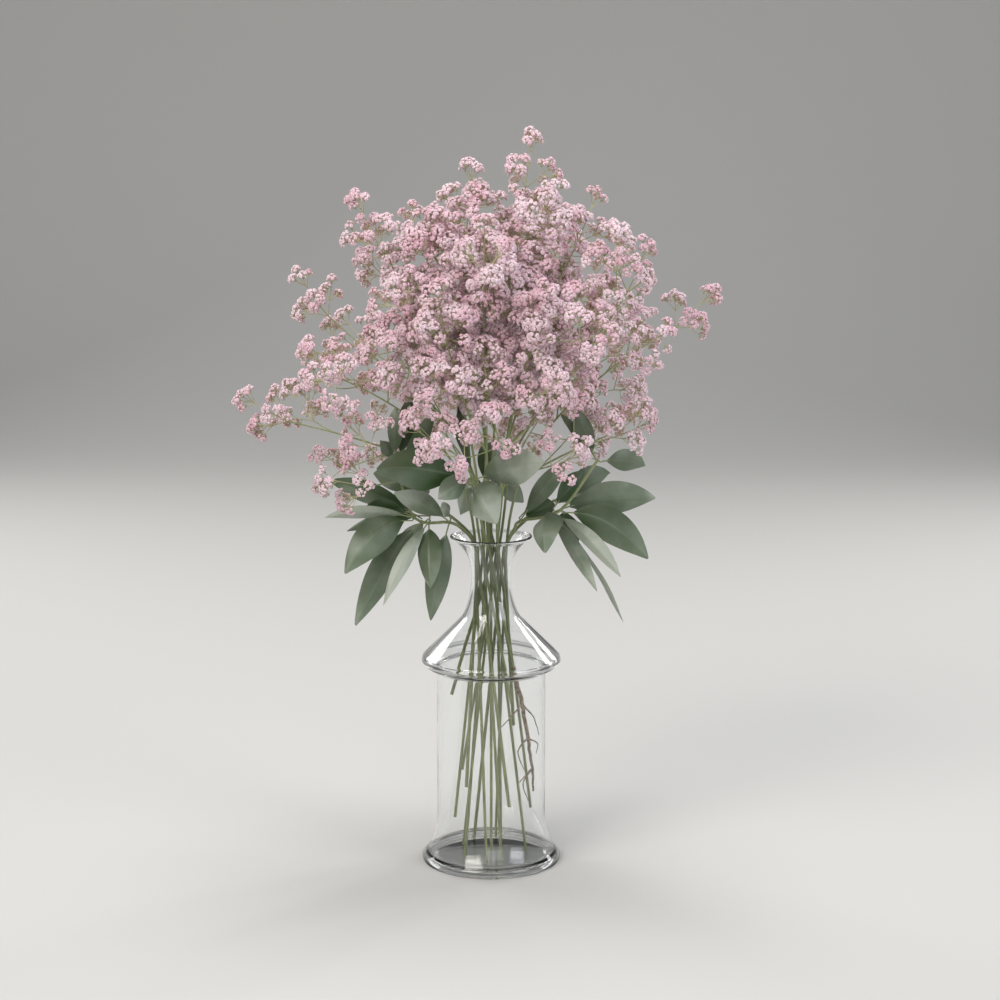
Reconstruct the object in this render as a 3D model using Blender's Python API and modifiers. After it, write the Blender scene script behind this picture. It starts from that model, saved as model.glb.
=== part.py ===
"""A spray of pink gypsophila and broad foliage standing in a clear glass bottle.

Metres, +Z up. The origin is the centre of the bottle's foot, on the surface that it stands on.
Azimuths run anticlockwise from +X seen from above, and the front of the arrangement faces -Y.
"""

import math
import random

import bmesh
import bpy
import numpy as np
from mathutils import Matrix, Vector

MM = 0.001

# Glass bottle: outer radii and heights, from the foot to the lip
GLASS = 2.6 * MM
FLOOR_TOP = 7.0 * MM
FOOT_RADIUS = 63.5 * MM
FOOT_EDGE = 5.0 * MM
FOOT_HEIGHT = 46.0 * MM
BODY_RADIUS = 49.5 * MM
COLLAR_UNDER = 181.0 * MM
COLLAR_RADIUS = 63.5 * MM
COLLAR_EDGE = 4.5 * MM
SHOULDER_TOP = 229.0 * MM
SHOULDER_RADIUS = 26.0 * MM
NECK_RADIUS = 18.0 * MM
NECK_HEIGHT = 268.0 * MM
LIP_RADIUS = 37.0 * MM
BOTTLE_HEIGHT = 303.0 * MM
BOTTLE_SIDES = 32

# Stems and twigs: half the diagonal of their four-sided section
SEAT_GAP = 0.3 * MM
STEM_RADIUS = 1.6 * MM
FORK_RADIUS = 1.4 * MM
HEAD_TIP_RADIUS = 0.8 * MM
BRANCH_RADIUS = 0.7 * MM
TWIG_RADIUS = 0.6 * MM
NODE_LENGTH = 2.6 * MM
FIRST_LENGTH = 4.0 * MM
NECK_RINGS = {"centre": 0.0, "inner": 6.3 * MM, "outer": 13.6 * MM}
STRAIGHT_TOP = 290.0 * MM
LIP_BEND_RADIUS = 19.0 * MM
LIP_BEND_HEIGHT = 309.0 * MM
FORK_ANGLE = math.radians(38)

# Flower heads: what one cluster of florets fills, and how three or four of them fan out
CLUSTER_RADIUS = 15.0 * MM
MARGIN = 0.7 * MM
OWN_MARGIN = 0.4 * MM
FAN_REACH = 27.0 * MM
FAN_TILT = math.radians(46)
CENTRE_REACH = 44.0 * MM
BRANCH_ANGLE = math.radians(48)
GOLDEN_ANGLE = math.radians(137.508)
CLUSTER_DEPTH = 10.0 * MM
CLUSTER_WIDEST = 14.3 * MM
CLUSTER_RISE = 5.0 * MM
CLUSTER_TOP = 9.0 * MM
FLORET_RISE = 3.5 * MM
BRANCH_REACH = 33.0 * MM
BRANCH_START = 6.0 * MM
STALK_START = 10.0 * MM
STALK_STEP = 0.3
ROOT_SHARE = 0.25
TIP_TRIALS = 60
BRANCH_TRIALS = 160
MOST_CLUSTERS = 270
ROOT_SPACING = 6.0 * MM
LOWEST_CLUSTER = 330.0 * MM
SEED = 11
ROOT_RADIUS = 2.2 * MM
ROOT_TIP_RADIUS = 0.9 * MM
SIDE_ROOT_RADII = (0.8 * MM, 0.5 * MM)

# Leaves: (share of the length, share of the width) down the outline, and the thickness at the rib
LEAF_SHAPE = [(0.14, 0.1), (0.28, 0.62), (0.46, 0.98), (0.64, 1.0), (0.83, 0.66), (1.0, 0.05)]
BLADE_THICKNESS = 1.4 * MM
LEAF_CLEAR = 2.2 * MM
PETIOLE_CLEAR = 1.2 * MM
PETIOLE_RADIUS = 0.8 * MM
PETIOLE_REACH = 3.2 * MM
LANE_WIDTH = 6.0 * MM
LEAFY_TIP_RADIUS = 1.3 * MM
LEAF_FOLD = 0.14
LEAF_TRIALS = 60
LEAFY_NODE = 100
FIRST_PLACE = 4
SEATS_TRIED = 3
LEAVES_PER_LEVEL = 3
LEVEL_SPACING = 7.0 * MM


# Each flowering stem: ring and azimuth in the neck, slope of its straight part, height of the cut end
# (0 stands on the glass), fork (distance, azimuth, height), and each head's top and side branches
FLOWER_STEMS = {
    "top": ("centre", 0, 0.0, 0, (3, 0, 400), [((36, 5, 658), 8), ((-26, 25, 632), 7)]),
    "left_high": ("inner", 211, 0.11, 0, (17, 182, 385), [((-116, -15, 604), 6), ((-178, 15, 530), 5)]),
    "front_high": ("inner", 283, 0.12, 0, (16, 255, 382), [((-5, -85, 590), 8), ((-50, -110, 530), 8)]),
    "right_high": ("inner", 355, 0.12, 0, (17, 324, 385), [((50, -110, 535), 8), ((146, -30, 560), 6)]),
    "right_back": ("inner", 67, 0.12, 0, (17, 36, 385), [((92, 10, 608), 6), ((70, 125, 580), 5)]),
    "back_high": ("inner", 139, 0.11, 0, (17, 108, 385), [((-75, 120, 590), 5), ((0, 175, 500), 4)]),
    "left_low": ("outer", 194, 0.145, 0, (26, 180, 352), [((-160, -60, 480), 4), ((-222, -22, 425), 2)]),
    "front_low": ("outer", 254, 0.2, 152, (26, 235, 352), [((-66, -95, 425), 2), ((-143, -78, 362), 2)]),
    "front_right": ("outer", 314, 0.17, 43, (26, 295, 352), [((2, -125, 432), 4), ((80, -98, 395), 2)]),
    "right_low": ("outer", 14, 0.145, 0, (26, 352, 355), [((196, 18, 520), 4), ((138, -50, 420), 3)]),
    "back_right": ("outer", 74, 0.17, 78, (26, 55, 352), [((135, 125, 480), 4), ((60, 165, 410), 3)]),
    "back_left": ("outer", 134, 0.145, 43, (26, 125, 352), [((-140, 120, 490), 4), ((-70, 165, 400), 3)]),
}

# Hubs with a place of their own: stem, stalk, share of the stalk where the branch leaves it, hub
SET_HUBS = [
    ("front_right", 0, 0.8, (-22, -112, 392)),
]

# Each leafy stem: azimuth in the neck, slope, cut end, the places where its leaves spring from it, and
# its leaves in the order in which they take their places: place, tip, width, lift, turn from facing front
LEAFY_STEMS = {
    "left": (224, 0.18, 60, [(-37, -15, 318), (-68, -25, 324), (-84, -30, 374)], [
        (1, (-128, -62, 281), 30, 26, 10), (1, (-121, -35, 228), 26, 22, -10), (1, (-53, -58, 267), 22, 12, 15),
        (0, (-54, -28, 231), 22, 14, 10), (1, (-91, -52, 257), 13, 14, -20), (1, (-92, -12, 266), 20, 14, 30),
        (1, (-116, -20, 327), 20, 12, -35), (1, (-147, 5, 353), 21, 8, 25), (1, (-148, -35, 325), 12, 12, 0),
        (0, (-85, -50, 351), 20, 8, -20), (1, (-128, -8, 311), 12, 10, 30), (0, (-43, -42, 341), 12, 4, 20),
        (2, (-84, -30, 424), 14, 2, -10), (2, (-70, -15, 433), 20, 0, 15), (2, (-50, -35, 419), 15, 0, 20),
        (2, (-98, -25, 394), 12, 3, 30),
    ]),
    "front": (284, 0.2, 182, [(-17, -45, 362)], [
        (0, (-98, -88, 378), 36, 8, 10), (0, (47, -92, 386), 31, 4, 0), (0, (5, -85, 330), 34, 14, 20),
        (0, (-25, -38, 424), 33, -4, 15), (0, (-47, -75, 349), 20, 6, 10),
    ]),
    "right": (344, 0.19, 120, [(27, -8, 318), (62, -30, 332), (95, -18, 375)], [
        (1, (139, -45, 291), 30, 24, -10), (1, (47, -78, 303), 28, 14, 35), (1, (147, -15, 340), 29, 12, 15),
        (1, (116, -62, 281), 15, 16, 10), (1, (94, -50, 262), 13, 14, 10), (1, (119, -25, 229), 12, 22, 70),
        (0, (57, -20, 336), 23, 5, 25), (0, (65, -40, 377), 17, 4, 10), (2, (139, 5, 366), 20, 8, 20),
        (1, (72, 0, 290), 21, 12, 30), (2, (75, -15, 421), 16, 0, 10), (1, (84, 0, 361), 18, 2, 30),
        (0, (57, -5, 345), 12, 4, 50), (2, (63, -5, 414), 12, 4, 30),
    ]),
    "back_right": (44, 0.145, 0, [(58, 30, 330)], [
        (0, (122, 45, 300), 24, 20, 40), (0, (95, 85, 310), 26, 22, 60), (0, (110, 60, 350), 22, 12, 30),
    ]),
    "back": (104, 0.3, 154, [(-8, 62, 335)], [
        (0, (-30, 120, 300), 26, 22, 30), (0, (30, 118, 312), 26, 20, -30), (0, (4, 105, 372), 24, 8, 20),
    ]),
    "back_left": (164, 0.17, 76, [(-60, 32, 330)], [
        (0, (-118, 60, 290), 26, 22, 30), (0, (-80, 98, 305), 26, 22, 60), (0, (-108, 45, 352), 22, 10, 20),
    ]),
}

# The leafy stem at the front ends in a brown root: its course, and its side roots by course point
ROOT_COURSE = [(28, -13, 150), (33, -14, 118), (37, -10, 88), (38, -6, 66)]
SIDE_ROOTS = [
    (0, [(18, -20, 140), (6, -24, 128)]), (0, [(38, -14, 138), (43, -11, 120)]),
    (1, [(24, -24, 108), (30, -30, 92)]), (1, [(42, -3, 110), (42, 6, 98)]),
    (2, [(29, -17, 76), (33, -22, 62)]), (2, [(33, 1, 80), (26, 6, 70)]),
]

# Outline of the crown as seen from the front and 10 degrees above: x, and height where y is 0
CROWN_OUTLINE = [
    (27, 650), (45, 650), (57, 606), (88, 598), (121, 573), (150, 545), (160, 525), (191, 516), (196, 496),
    (158, 473), (148, 444), (144, 397), (112, 362), (80, 352), (49, 363), (30, 382), (-2, 352), (-46, 352),
    (-58, 385), (-82, 348), (-145, 335), (-162, 352), (-140, 378), (-180, 380), (-223, 388), (-230, 422),
    (-197, 430), (-182, 444), (-186, 480), (-185, 528), (-160, 537), (-126, 566), (-126, 604), (-99, 606),
    (-54, 593), (-34, 624), (-1, 628), (12, 610),
]
VIEW_RISE = 0.18

LIP_BARS = 12
STALK_BARS = 8
LIP_NODE = 999
FIRST_BRANCH_PIECE = 1000

PETAL_PINK = (0.72, 0.5, 0.55, 1)
LEAF_GREEN = (0.17, 0.22, 0.15, 1)
ROOT_BROWN = (0.16, 0.08, 0.03, 1)
FRONT = np.array([0, -0.984, 0.178])
UP = np.array([0, 0, 1])
ASKEW = np.array([0.31, -0.17, 0.93])


def polar(radius, azimuth, height):
    return np.array([radius * math.cos(azimuth), radius * math.sin(azimuth), height])


def unit(vector):
    return vector / np.linalg.norm(vector)


def mix(a, b, share):
    return a * (1 - share) + b * share


def bezier(curve, t):
    a, b, c = curve
    return a * (1 - t) ** 2 + b * 2 * t * (1 - t) + c * t**2


def bezier_direction(curve, t):
    a, b, c = curve
    return unit((b - a) * (1 - t) + (c - b) * t)


def turned(vector, axis, angle):
    """Vector turned about an axis that is square to it."""
    return math.cos(angle) * vector + math.sin(angle) * np.cross(axis, vector)


def square_to(direction, towards):
    """The part of a vector that is square to a direction, at length 1."""
    flat = towards - direction * (towards @ direction)
    if np.linalg.norm(flat) < 1e-9:
        flat = np.cross(direction, ASKEW)
    return unit(flat)


class Space:
    """What is placed so far, as round-ended bars, so that what grows next keeps clear of it."""

    def __init__(self):
        self.bars = []
        self.table = None

    def add(self, start, end, radius, node, piece):
        self.bars.append((*start, *end, radius, node, piece))
        self.table = None

    def is_clear(self, start, end, radius, node, piece):
        """Whether a bar keeps clear of all others, apart from its own piece's."""
        if self.table is None:
            self.table = np.array(self.bars)
        own = (self.table[:, 7] == node) & (self.table[:, 8] == piece)
        others = self.table[~own]
        margin = np.where(others[:, 7] == node, OWN_MARGIN, MARGIN)
        gaps = bar_distances(others[:, 0:3], others[:, 3:6], start, end) - others[:, 6] - radius
        return bool((gaps > margin).all())


def bar_distances(starts, ends, a, b):
    """Distance from the line a-b to each of many lines, all of them with ends."""
    along, others = b - a, ends - starts
    offset = a - starts
    n1 = max(float(along @ along), 1e-12)
    n2 = np.maximum((others * others).sum(1), 1e-12)
    f, c, across = (others * offset).sum(1), offset @ along, others @ along
    room = n1 * n2 - across**2
    s = np.clip(np.where(room > 1e-14, (across * f - c * n2) / np.maximum(room, 1e-14), 0), 0, 1)
    t = np.clip((across * s + f) / n2, 0, 1)
    s = np.clip((across * t - c) / n1, 0, 1)
    apart = (a + np.outer(s, along)) - (starts + others * t[:, None])
    return np.sqrt((apart * apart).sum(1))


def neck_line(ring, azimuth, slope, height):
    """A stem's place at a height of its straight part. All of the stems lean one way round."""
    place = math.radians(azimuth)
    at_neck = polar(NECK_RINGS[ring], place, NECK_HEIGHT)
    lean = polar(slope, place - math.pi / 2, 1)
    return at_neck + (height - NECK_HEIGHT) * lean


def straight_part(ring, azimuth, slope, cut):
    standing = FLOOR_TOP + SEAT_GAP + STEM_RADIUS * slope
    return [
        neck_line(ring, azimuth, slope, cut * MM if cut else standing),
        neck_line(ring, azimuth, slope, STRAIGHT_TOP),
    ]


def trunk_route(ring, azimuth, slope, cut, fork):
    """Points from the cut end, straight through the neck, and on a bend to the fork."""
    foot, top = straight_part(ring, azimuth, slope, cut)
    radius, towards, height = fork
    end = polar(radius * MM, math.radians(towards), height * MM)
    rise = unit(top - foot)
    control = top + rise * 0.5 * np.linalg.norm(end - top)
    return [foot, top, bezier((top, control, end), 0.5), end]


def leafy_route(azimuth, slope, cut, places):
    """Points from the cut end, through the neck and over the lip, to each place where leaves spring."""
    foot, top = straight_part("outer", azimuth, slope, cut)
    stops = [np.array(place) * MM for place in places]
    flat = math.atan2(stops[0][1], stops[0][0])
    over_lip = polar(LIP_BEND_RADIUS, flat, LIP_BEND_HEIGHT)
    bend = (top, over_lip, stops[0])
    return [foot, top, bezier(bend, 0.33), bezier(bend, 0.66), *stops]


def head_curves(route, heads):
    """Each head's stalk from the fork, as a curve's start, control point and end.

    The first goes on from the stem, and the others leave it at a wide enough angle to part from it."""
    fork = route[-1]
    ahead = unit(route[-1] - route[-2])
    curves = []
    for number, (tip, _) in enumerate(heads):
        tip = np.array(tip) * MM
        tip = tip - unit(tip - fork) * CENTRE_REACH
        aim = unit(tip - fork)
        rise = unit(ahead + 0.2 * aim)
        if number:
            main = bezier_direction(curves[0], 0)
            sideways = square_to(main, aim)
            angle = max(FORK_ANGLE, 0.7 * math.acos(min(1, main @ aim)))
            rise = math.cos(angle) * main + math.sin(angle) * sideways
        curves.append((fork, fork + rise * 0.4 * np.linalg.norm(tip - fork), tip))
    return curves


def fan(hub, axis, turn, count, reach):
    """Centres of the clusters round a hub: two or three that lean out, and a fourth in the middle."""
    side = square_to(axis, ASKEW)
    around = min(count, 3)
    clusters = []
    for k in range(around):
        outward = turned(side, axis, turn + k * math.tau / around)
        clusters.append(hub + reach * (math.cos(FAN_TILT) * axis + math.sin(FAN_TILT) * outward))
    if count == 4:
        clusters.append(hub + CENTRE_REACH * axis)
    return clusters


def in_crown(point):
    """Whether a point is within the crown's outline, seen from the front and above."""
    x, z = point[0] / MM, (point[2] + VIEW_RISE * point[1]) / MM
    inside = False
    for (x0, z0), (x1, z1) in zip(CROWN_OUTLINE, CROWN_OUTLINE[1:] + CROWN_OUTLINE[:1]):
        if (z0 > z) != (z1 > z) and x < x0 + (z - z0) * (x1 - x0) / (z1 - z0):
            inside = not inside
    return inside


def has_room(space, node, piece, root, hub, clusters):
    """Whether a hub's branch, twigs and clusters are clear. A hub at a stalk's tip has no branch."""
    if root is not None and not all(in_crown(centre) for centre in clusters):
        return False
    if root is not None and not space.is_clear(mix(root, hub, ROOT_SHARE), hub, BRANCH_RADIUS, node, piece):
        return False
    for centre in clusters:
        if centre[2] < LOWEST_CLUSTER:
            return False
        if not space.is_clear(centre, centre, CLUSTER_RADIUS, node, piece):
            return False
        if not space.is_clear(mix(hub, centre, ROOT_SHARE), centre, TWIG_RADIUS, node, piece):
            return False
    return True


def fill(space, node, piece, root, hub, clusters):
    if root is not None:
        space.add(root, hub, BRANCH_RADIUS, node, piece)
    for centre in clusters:
        space.add(centre, centre, CLUSTER_RADIUS, node, piece)
        space.add(hub, centre, TWIG_RADIUS, node, piece)


def end_hub(space, chance, node, piece, curve):
    """The hub at a stalk's tip: (place on the stalk, hub, axis, clusters)."""
    axis = unit(bezier_direction(curve, 1) + 0.35 * UP)
    for trial in range(TIP_TRIALS):
        loose = trial / TIP_TRIALS
        count = 4 if loose < 0.25 else 3 if loose < 0.5 else 2
        clusters = fan(curve[2], axis, chance.uniform(0, math.tau), count, FAN_REACH)
        if has_room(space, node, piece, None, curve[2], clusters):
            fill(space, node, piece, None, curve[2], clusters)
            return (1.0, curve[2], axis, clusters)
    return None


def side_hub(space, chance, node, piece, curve, place, turn, taken):
    """A side branch's hub, which turns and shifts until it has room."""
    length = np.linalg.norm(curve[2] - curve[0])
    for trial in range(BRANCH_TRIALS):
        loose = trial / BRANCH_TRIALS
        here = min(0.92, max(0.2, place + chance.uniform(-0.05, 0.05) * (1 + 8 * loose)))
        if any(abs(here - other) * length < ROOT_SPACING for other in taken):
            continue
        root = bezier(curve, here)
        along = bezier_direction(curve, here)
        side = square_to(along, ASKEW)
        outward = turned(side, along, turn + chance.uniform(-0.4, 0.4) * (1 + 7 * loose))
        angle = BRANCH_ANGLE * chance.uniform(0.85, 1.2)
        aim = math.cos(angle) * along + math.sin(angle) * outward
        reach = BRANCH_REACH + 0.22 * (1 - here) * length
        hub = root + aim * reach * chance.uniform(0.85 - 0.2 * loose, 1.25 + 0.4 * loose)
        axis = unit(aim + 0.5 * UP)
        count = 4 if loose < 0.35 else 3 if loose < 0.8 else 2
        clusters = fan(hub, axis, chance.uniform(0, math.tau), count, FAN_REACH)
        if has_room(space, node, piece, root, hub, clusters):
            fill(space, node, piece, root, hub, clusters)
            return (here, hub, axis, clusters)
    return None


def set_hub(space, node, piece, curve, here, centre):
    root, hub = bezier(curve, here), np.array(centre) * MM
    axis = unit(unit(hub - root) + 0.5 * UP)
    clusters = fan(hub, axis, 0.0, 4, FAN_REACH)
    fill(space, node, piece, root, hub, clusters)
    return (here, hub, axis, clusters)


def grow_hubs(space, curves):
    """Every stalk's hubs: the tips first, and then one side branch for each stalk in turn."""
    chance = random.Random(SEED)
    hubs = {key: [] for key in curves}
    stems = list(FLOWER_STEMS)
    piece = FIRST_BRANCH_PIECE
    for key, curve in curves.items():
        piece += 1
        hub = end_hub(space, chance, stems.index(key[0]), piece, curve)
        if hub:
            hubs[key].append(hub)
    for name, number, here, centre in SET_HUBS:
        piece += 1
        node, curve = stems.index(name), curves[name, number]
        hubs[name, number].append(set_hub(space, node, piece, curve, here, centre))
    most = max(head[1] for stem in FLOWER_STEMS.values() for head in stem[5])
    for rank in range(most):
        for key, curve in curves.items():
            name, number = key
            branches = FLOWER_STEMS[name][5][number][1]
            placed = sum(len(hub[3]) for each in hubs.values() for hub in each)
            if rank >= branches or placed >= MOST_CLUSTERS:
                continue
            piece += 1
            place = 0.84 - 0.5 * rank / max(branches - 1, 1)
            turn = rank * GOLDEN_ANGLE + 1.3 * number
            taken = [hub[0] for hub in hubs[key]]
            hub = side_hub(space, chance, stems.index(name), piece, curve, place, turn, taken)
            if hub:
                hubs[key].append(hub)
    return hubs


def leaf_frame(curve, t, turn):
    """Directions along and across a leaf at a place on its curve."""
    along = bezier_direction(curve, t)
    across = square_to(along, np.cross(along, FRONT))
    return along, turned(across, along, turn)


def leaf_bars(curve, width, turn):
    """A leaf's blade as bars side by side along it."""
    lanes = max(2, round(width / LANE_WIDTH))
    bars = [(curve[0], bezier(curve, LEAF_SHAPE[0][0]), PETIOLE_RADIUS)]
    for (t0, s0), (t1, s1) in zip(LEAF_SHAPE, LEAF_SHAPE[1:]):
        across0, across1 = leaf_frame(curve, t0, turn)[1], leaf_frame(curve, t1, turn)[1]
        for lane in range(lanes):
            share = lane / (lanes - 1) - 0.5
            bars.append((
                bezier(curve, t0) + across0 * share * width * s0,
                bezier(curve, t1) + across1 * share * width * s1,
                PETIOLE_CLEAR if t0 == LEAF_SHAPE[0][0] else LEAF_CLEAR,
            ))
    return bars


def leaf_has_room(space, node, piece, bars):
    return all(space.is_clear(a, b, radius, node, piece) for a, b, radius in bars)


def place_leaf(space, chance, node, piece, base, leaf):
    """A leaf's curve and turn. It shifts and turns a little more at each try until it has room."""
    _, tip, width, lift, turn = leaf
    tip, width, lift, turn = np.array(tip) * MM, width * MM, lift * MM, math.radians(turn)
    for trial in range(LEAF_TRIALS):
        loose = 24 * MM * trial / LEAF_TRIALS
        shift = np.array([0.35, 1.0, 0.35]) * [chance.uniform(-loose, loose) for _ in range(3)]
        here = tip + shift
        curve = (base, mix(base, here, 0.5) + np.array([0, 0, lift]), here)
        twist = turn + chance.uniform(-1.2, 1.2) * trial / LEAF_TRIALS
        bars = leaf_bars(curve, width, twist)
        if leaf_has_room(space, node, piece, bars):
            for a, b, radius in bars:
                space.add(a, b, radius, node, piece)
            return curve, twist
    return None


def leaf_places(route):
    return len(route) - FIRST_PLACE


def place_direction(route, place):
    """The stem's direction at a place where leaves spring: between the way in and the way on."""
    here = FIRST_PLACE + place
    way_in = unit(route[here] - route[here - 1])
    if place == leaf_places(route) - 1:
        return way_in
    return unit(way_in + unit(route[here + 1] - route[here]))


def leaf_seats(route, leaves):
    """The stem's sides that can bear a leaf: (place, ring, the way the side faces, where the leaf begins)."""
    seats = []
    for place in range(leaf_places(route)):
        own = sum(leaf[0] == place for leaf in leaves)
        ahead = place_direction(route, place)
        for level in range(math.ceil(own / LEAVES_PER_LEVEL)):
            direction = ring_direction(route, place, level)
            centre = level_centre(route, place, level)
            side = square_to(direction, UP)
            for normal in (side, np.cross(direction, side), -side, -np.cross(direction, side)):
                seats.append((place, level, normal, centre + normal * PETIOLE_REACH))
        if place == leaf_places(route) - 1:
            seats.append((place, 0, ahead, route[-1] + ahead * PETIOLE_REACH))
    return seats


def settle_leaves(space, routes):
    """Every leafy stem's leaves: [(place, ring, the way its side faces, curve, width, turn)].

    Each leaf takes the free side that faces its way best. Leaves that point on along the stem take the
    last rings, and those that point back take the first."""
    chance = random.Random(SEED)
    settled = {}
    for index, (name, stem) in enumerate(LEAFY_STEMS.items()):
        node = LEAFY_NODE + index
        settled[name] = []
        seats = leaf_seats(routes[name], stem[4])
        for number, leaf in enumerate(stem[4]):
            ahead = place_direction(routes[name], leaf[0])

            def suits(seat):
                aim = unit(np.array(leaf[1]) * MM - seat[3])
                return aim @ seat[2] - 0.25 * seat[1] * (aim @ ahead)

            own = [seat for seat in seats if seat[0] == leaf[0]]
            for seat in sorted(own, key=suits, reverse=True)[:SEATS_TRIED]:
                found = place_leaf(space, chance, node, 1 + number, seat[3], leaf)
                if found:
                    seats = [other for other in seats if other is not seat]
                    settled[name].append((*seat[:3], found[0], leaf[2] * MM, found[1]))
                    break
    return settled


def level_centre(route, place, level):
    """Centre of one ring of leaves. The first is at its place on the stem, and the next ones before it."""
    here = FIRST_PLACE + place
    back = unit(route[here - 1] - route[here])
    return route[here] + back * LEVEL_SPACING * level


def ring_direction(route, place, level):
    here = FIRST_PLACE + place
    return unit(route[here] - route[here - 1]) if level else place_direction(route, place)


def start_body(foot, direction, radius, length):
    """A mesh that holds one short four-sided length of stem, and its far face, which grows on."""
    mesh = bmesh.new()
    side = square_to(direction, ASKEW)
    up = np.cross(direction, side)
    width = math.sqrt(2) * radius
    columns = np.column_stack([side * width, up * width, direction * length])
    place = Matrix.Translation(Vector(foot + direction * length / 2)) @ Matrix(columns.tolist()).to_4x4()
    bmesh.ops.create_cube(mesh, size=1, matrix=place)
    end = max(mesh.faces, key=lambda face: face.calc_center_median() @ Vector(direction))
    return mesh, end


def carry(face):
    """The direction from a face's middle to its first corner, which keeps the next ring from twisting."""
    middle = face.calc_center_median()
    return np.array(face.loops[0].vert.co - middle)


def push(mesh, face, centre, direction, towards, across, through=None, sag=0.0):
    """Extrudes a face to a new ring of four corners.

    Two corners lie across, and two through the thickness, which sag together. Returns the new end face,
    the four sides, and the corners in the order across, through, across, through."""
    through = across if through is None else through
    e1 = square_to(direction, towards)
    e2 = np.cross(direction, e1)
    corners = [
        centre + e1 * across, centre + e2 * (through - sag),
        centre - e1 * across, centre - e2 * (through + sag),
    ]
    middle = np.array(face.calc_center_median())
    end = bmesh.ops.extrude_discrete_faces(mesh, faces=[face])["faces"][0]
    ring = [loop.vert for loop in end.loops]
    arms = [np.array(vert.co) - middle for vert in ring]

    def likeness(step):
        return sum(arms[k] @ (corners[(k + step) % 4] - centre) for k in range(4))

    step = max(range(4), key=likeness)
    ordered = [None] * 4
    for k, vert in enumerate(ring):
        vert.co = Vector(corners[(k + step) % 4])
        ordered[(k + step) % 4] = vert
    sides = [loop.link_loop_radial_next.face for loop in end.loops]
    return end, sides, ordered


def push_node(mesh, face, centre, direction, aim, radius):
    """A short length whose sides bear what branches here, with one side facing the aim."""
    towards = turned(square_to(direction, aim), direction, math.pi / 4)
    half = direction * NODE_LENGTH / 2
    face, _, _ = push(mesh, face, centre - half, direction, towards, radius)
    end, sides, _ = push(mesh, face, centre + half, direction, towards, radius)
    return end, sides


def take_side(sides, aim):
    """The side that faces an aim best, which is then no longer free."""
    for side in sides:
        side.normal_update()
    best = max(sides, key=lambda side: side.normal @ Vector(aim))
    sides.remove(best)
    return best


def push_tube(mesh, face, points, radii):
    """Rings at the points, each square to the bend there."""
    middle = np.array(face.calc_center_median())
    for k, (point, radius) in enumerate(zip(points, radii)):
        back = points[k - 1] if k else middle
        on = points[min(k + 1, len(points) - 1)]
        direction = unit(point - back) + (unit(on - point) if k + 1 < len(points) else 0)
        face, _, _ = push(mesh, face, point, unit(direction), carry(face), radius)
    return face


def grow_cluster(mesh, face, hub, centre):
    """A twig that opens into a star-shaped head of raised florets."""
    axis = unit(centre - hub)
    face, _, _ = push(mesh, face, centre - axis * CLUSTER_DEPTH, axis, carry(face), TWIG_RADIUS)
    face, _, _ = push(mesh, face, centre - axis * MM, axis, carry(face), CLUSTER_WIDEST)
    face, sides, _ = push(mesh, face, centre + axis * CLUSTER_RISE, axis, carry(face), CLUSTER_TOP)
    bmesh.ops.poke(mesh, faces=[*sides, face], offset=FLORET_RISE, center_mode="MEAN")


def grow_fan(mesh, end, sides, hub):
    """All the clusters of one hub."""
    _, centre, _, clusters = hub
    for number, cluster in enumerate(clusters):
        face = end if number == 3 else take_side(sides, cluster - centre)
        grow_cluster(mesh, face, centre, cluster)


def grow_branch(mesh, face, root, hub):
    """A side branch and what it bears."""
    _, centre, axis, clusters = hub
    aim = unit(centre - root)
    face, _, _ = push(mesh, face, root + aim * BRANCH_START, aim, carry(face), BRANCH_RADIUS)
    end, sides = push_node(mesh, face, centre, axis, clusters[0] - centre, BRANCH_RADIUS)
    grow_fan(mesh, end, sides, hub)


def stalk_radius(t):
    return mix(FORK_RADIUS, HEAD_TIP_RADIUS, t)


def grow_stalk(mesh, face, curve, hubs, starts_at_side):
    """One stalk from the fork to its tip, with its side branches."""
    length = np.linalg.norm(curve[2] - curve[0])
    reached = STALK_START / length
    if starts_at_side:
        along = bezier_direction(curve, reached)
        face, _, _ = push(mesh, face, bezier(curve, reached), along, carry(face), stalk_radius(reached))
    for hub in sorted(hubs, key=lambda hub: hub[0]):
        t = hub[0]
        between = round((t - reached) / STALK_STEP) - 1
        for k in range(between):
            here = mix(reached, t, (k + 1) / (between + 1))
            along = bezier_direction(curve, here)
            face, _, _ = push(mesh, face, bezier(curve, here), along, carry(face), stalk_radius(here))
        root = bezier(curve, t)
        reached = t
        if t == 1.0:
            end, sides = push_node(mesh, face, root, hub[2], hub[3][0] - root, stalk_radius(t))
            grow_fan(mesh, end, sides, hub)
            return
        along = bezier_direction(curve, t)
        face, sides = push_node(mesh, face, root, along, hub[1] - root, stalk_radius(t))
        grow_branch(mesh, take_side(sides, hub[1] - root), root, hub)
    push(mesh, face, curve[2], bezier_direction(curve, 1), carry(face), HEAD_TIP_RADIUS)


def grow_flower_stem(route, curves, hubs):
    direction = unit(route[1] - route[0])
    mesh, face = start_body(route[0], direction, STEM_RADIUS, FIRST_LENGTH)
    face = push_tube(mesh, face, route[1:-1], [STEM_RADIUS, STEM_RADIUS])
    ahead = unit(route[-1] - route[-2])
    aim = bezier_direction(curves[-1], 0)
    end, sides = push_node(mesh, face, route[-1], ahead, aim, FORK_RADIUS)
    for number, curve in enumerate(curves):
        face = take_side(sides, bezier_direction(curve, 0)) if number else end
        grow_stalk(mesh, face, curve, hubs[number], number > 0)
    return mesh


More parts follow.
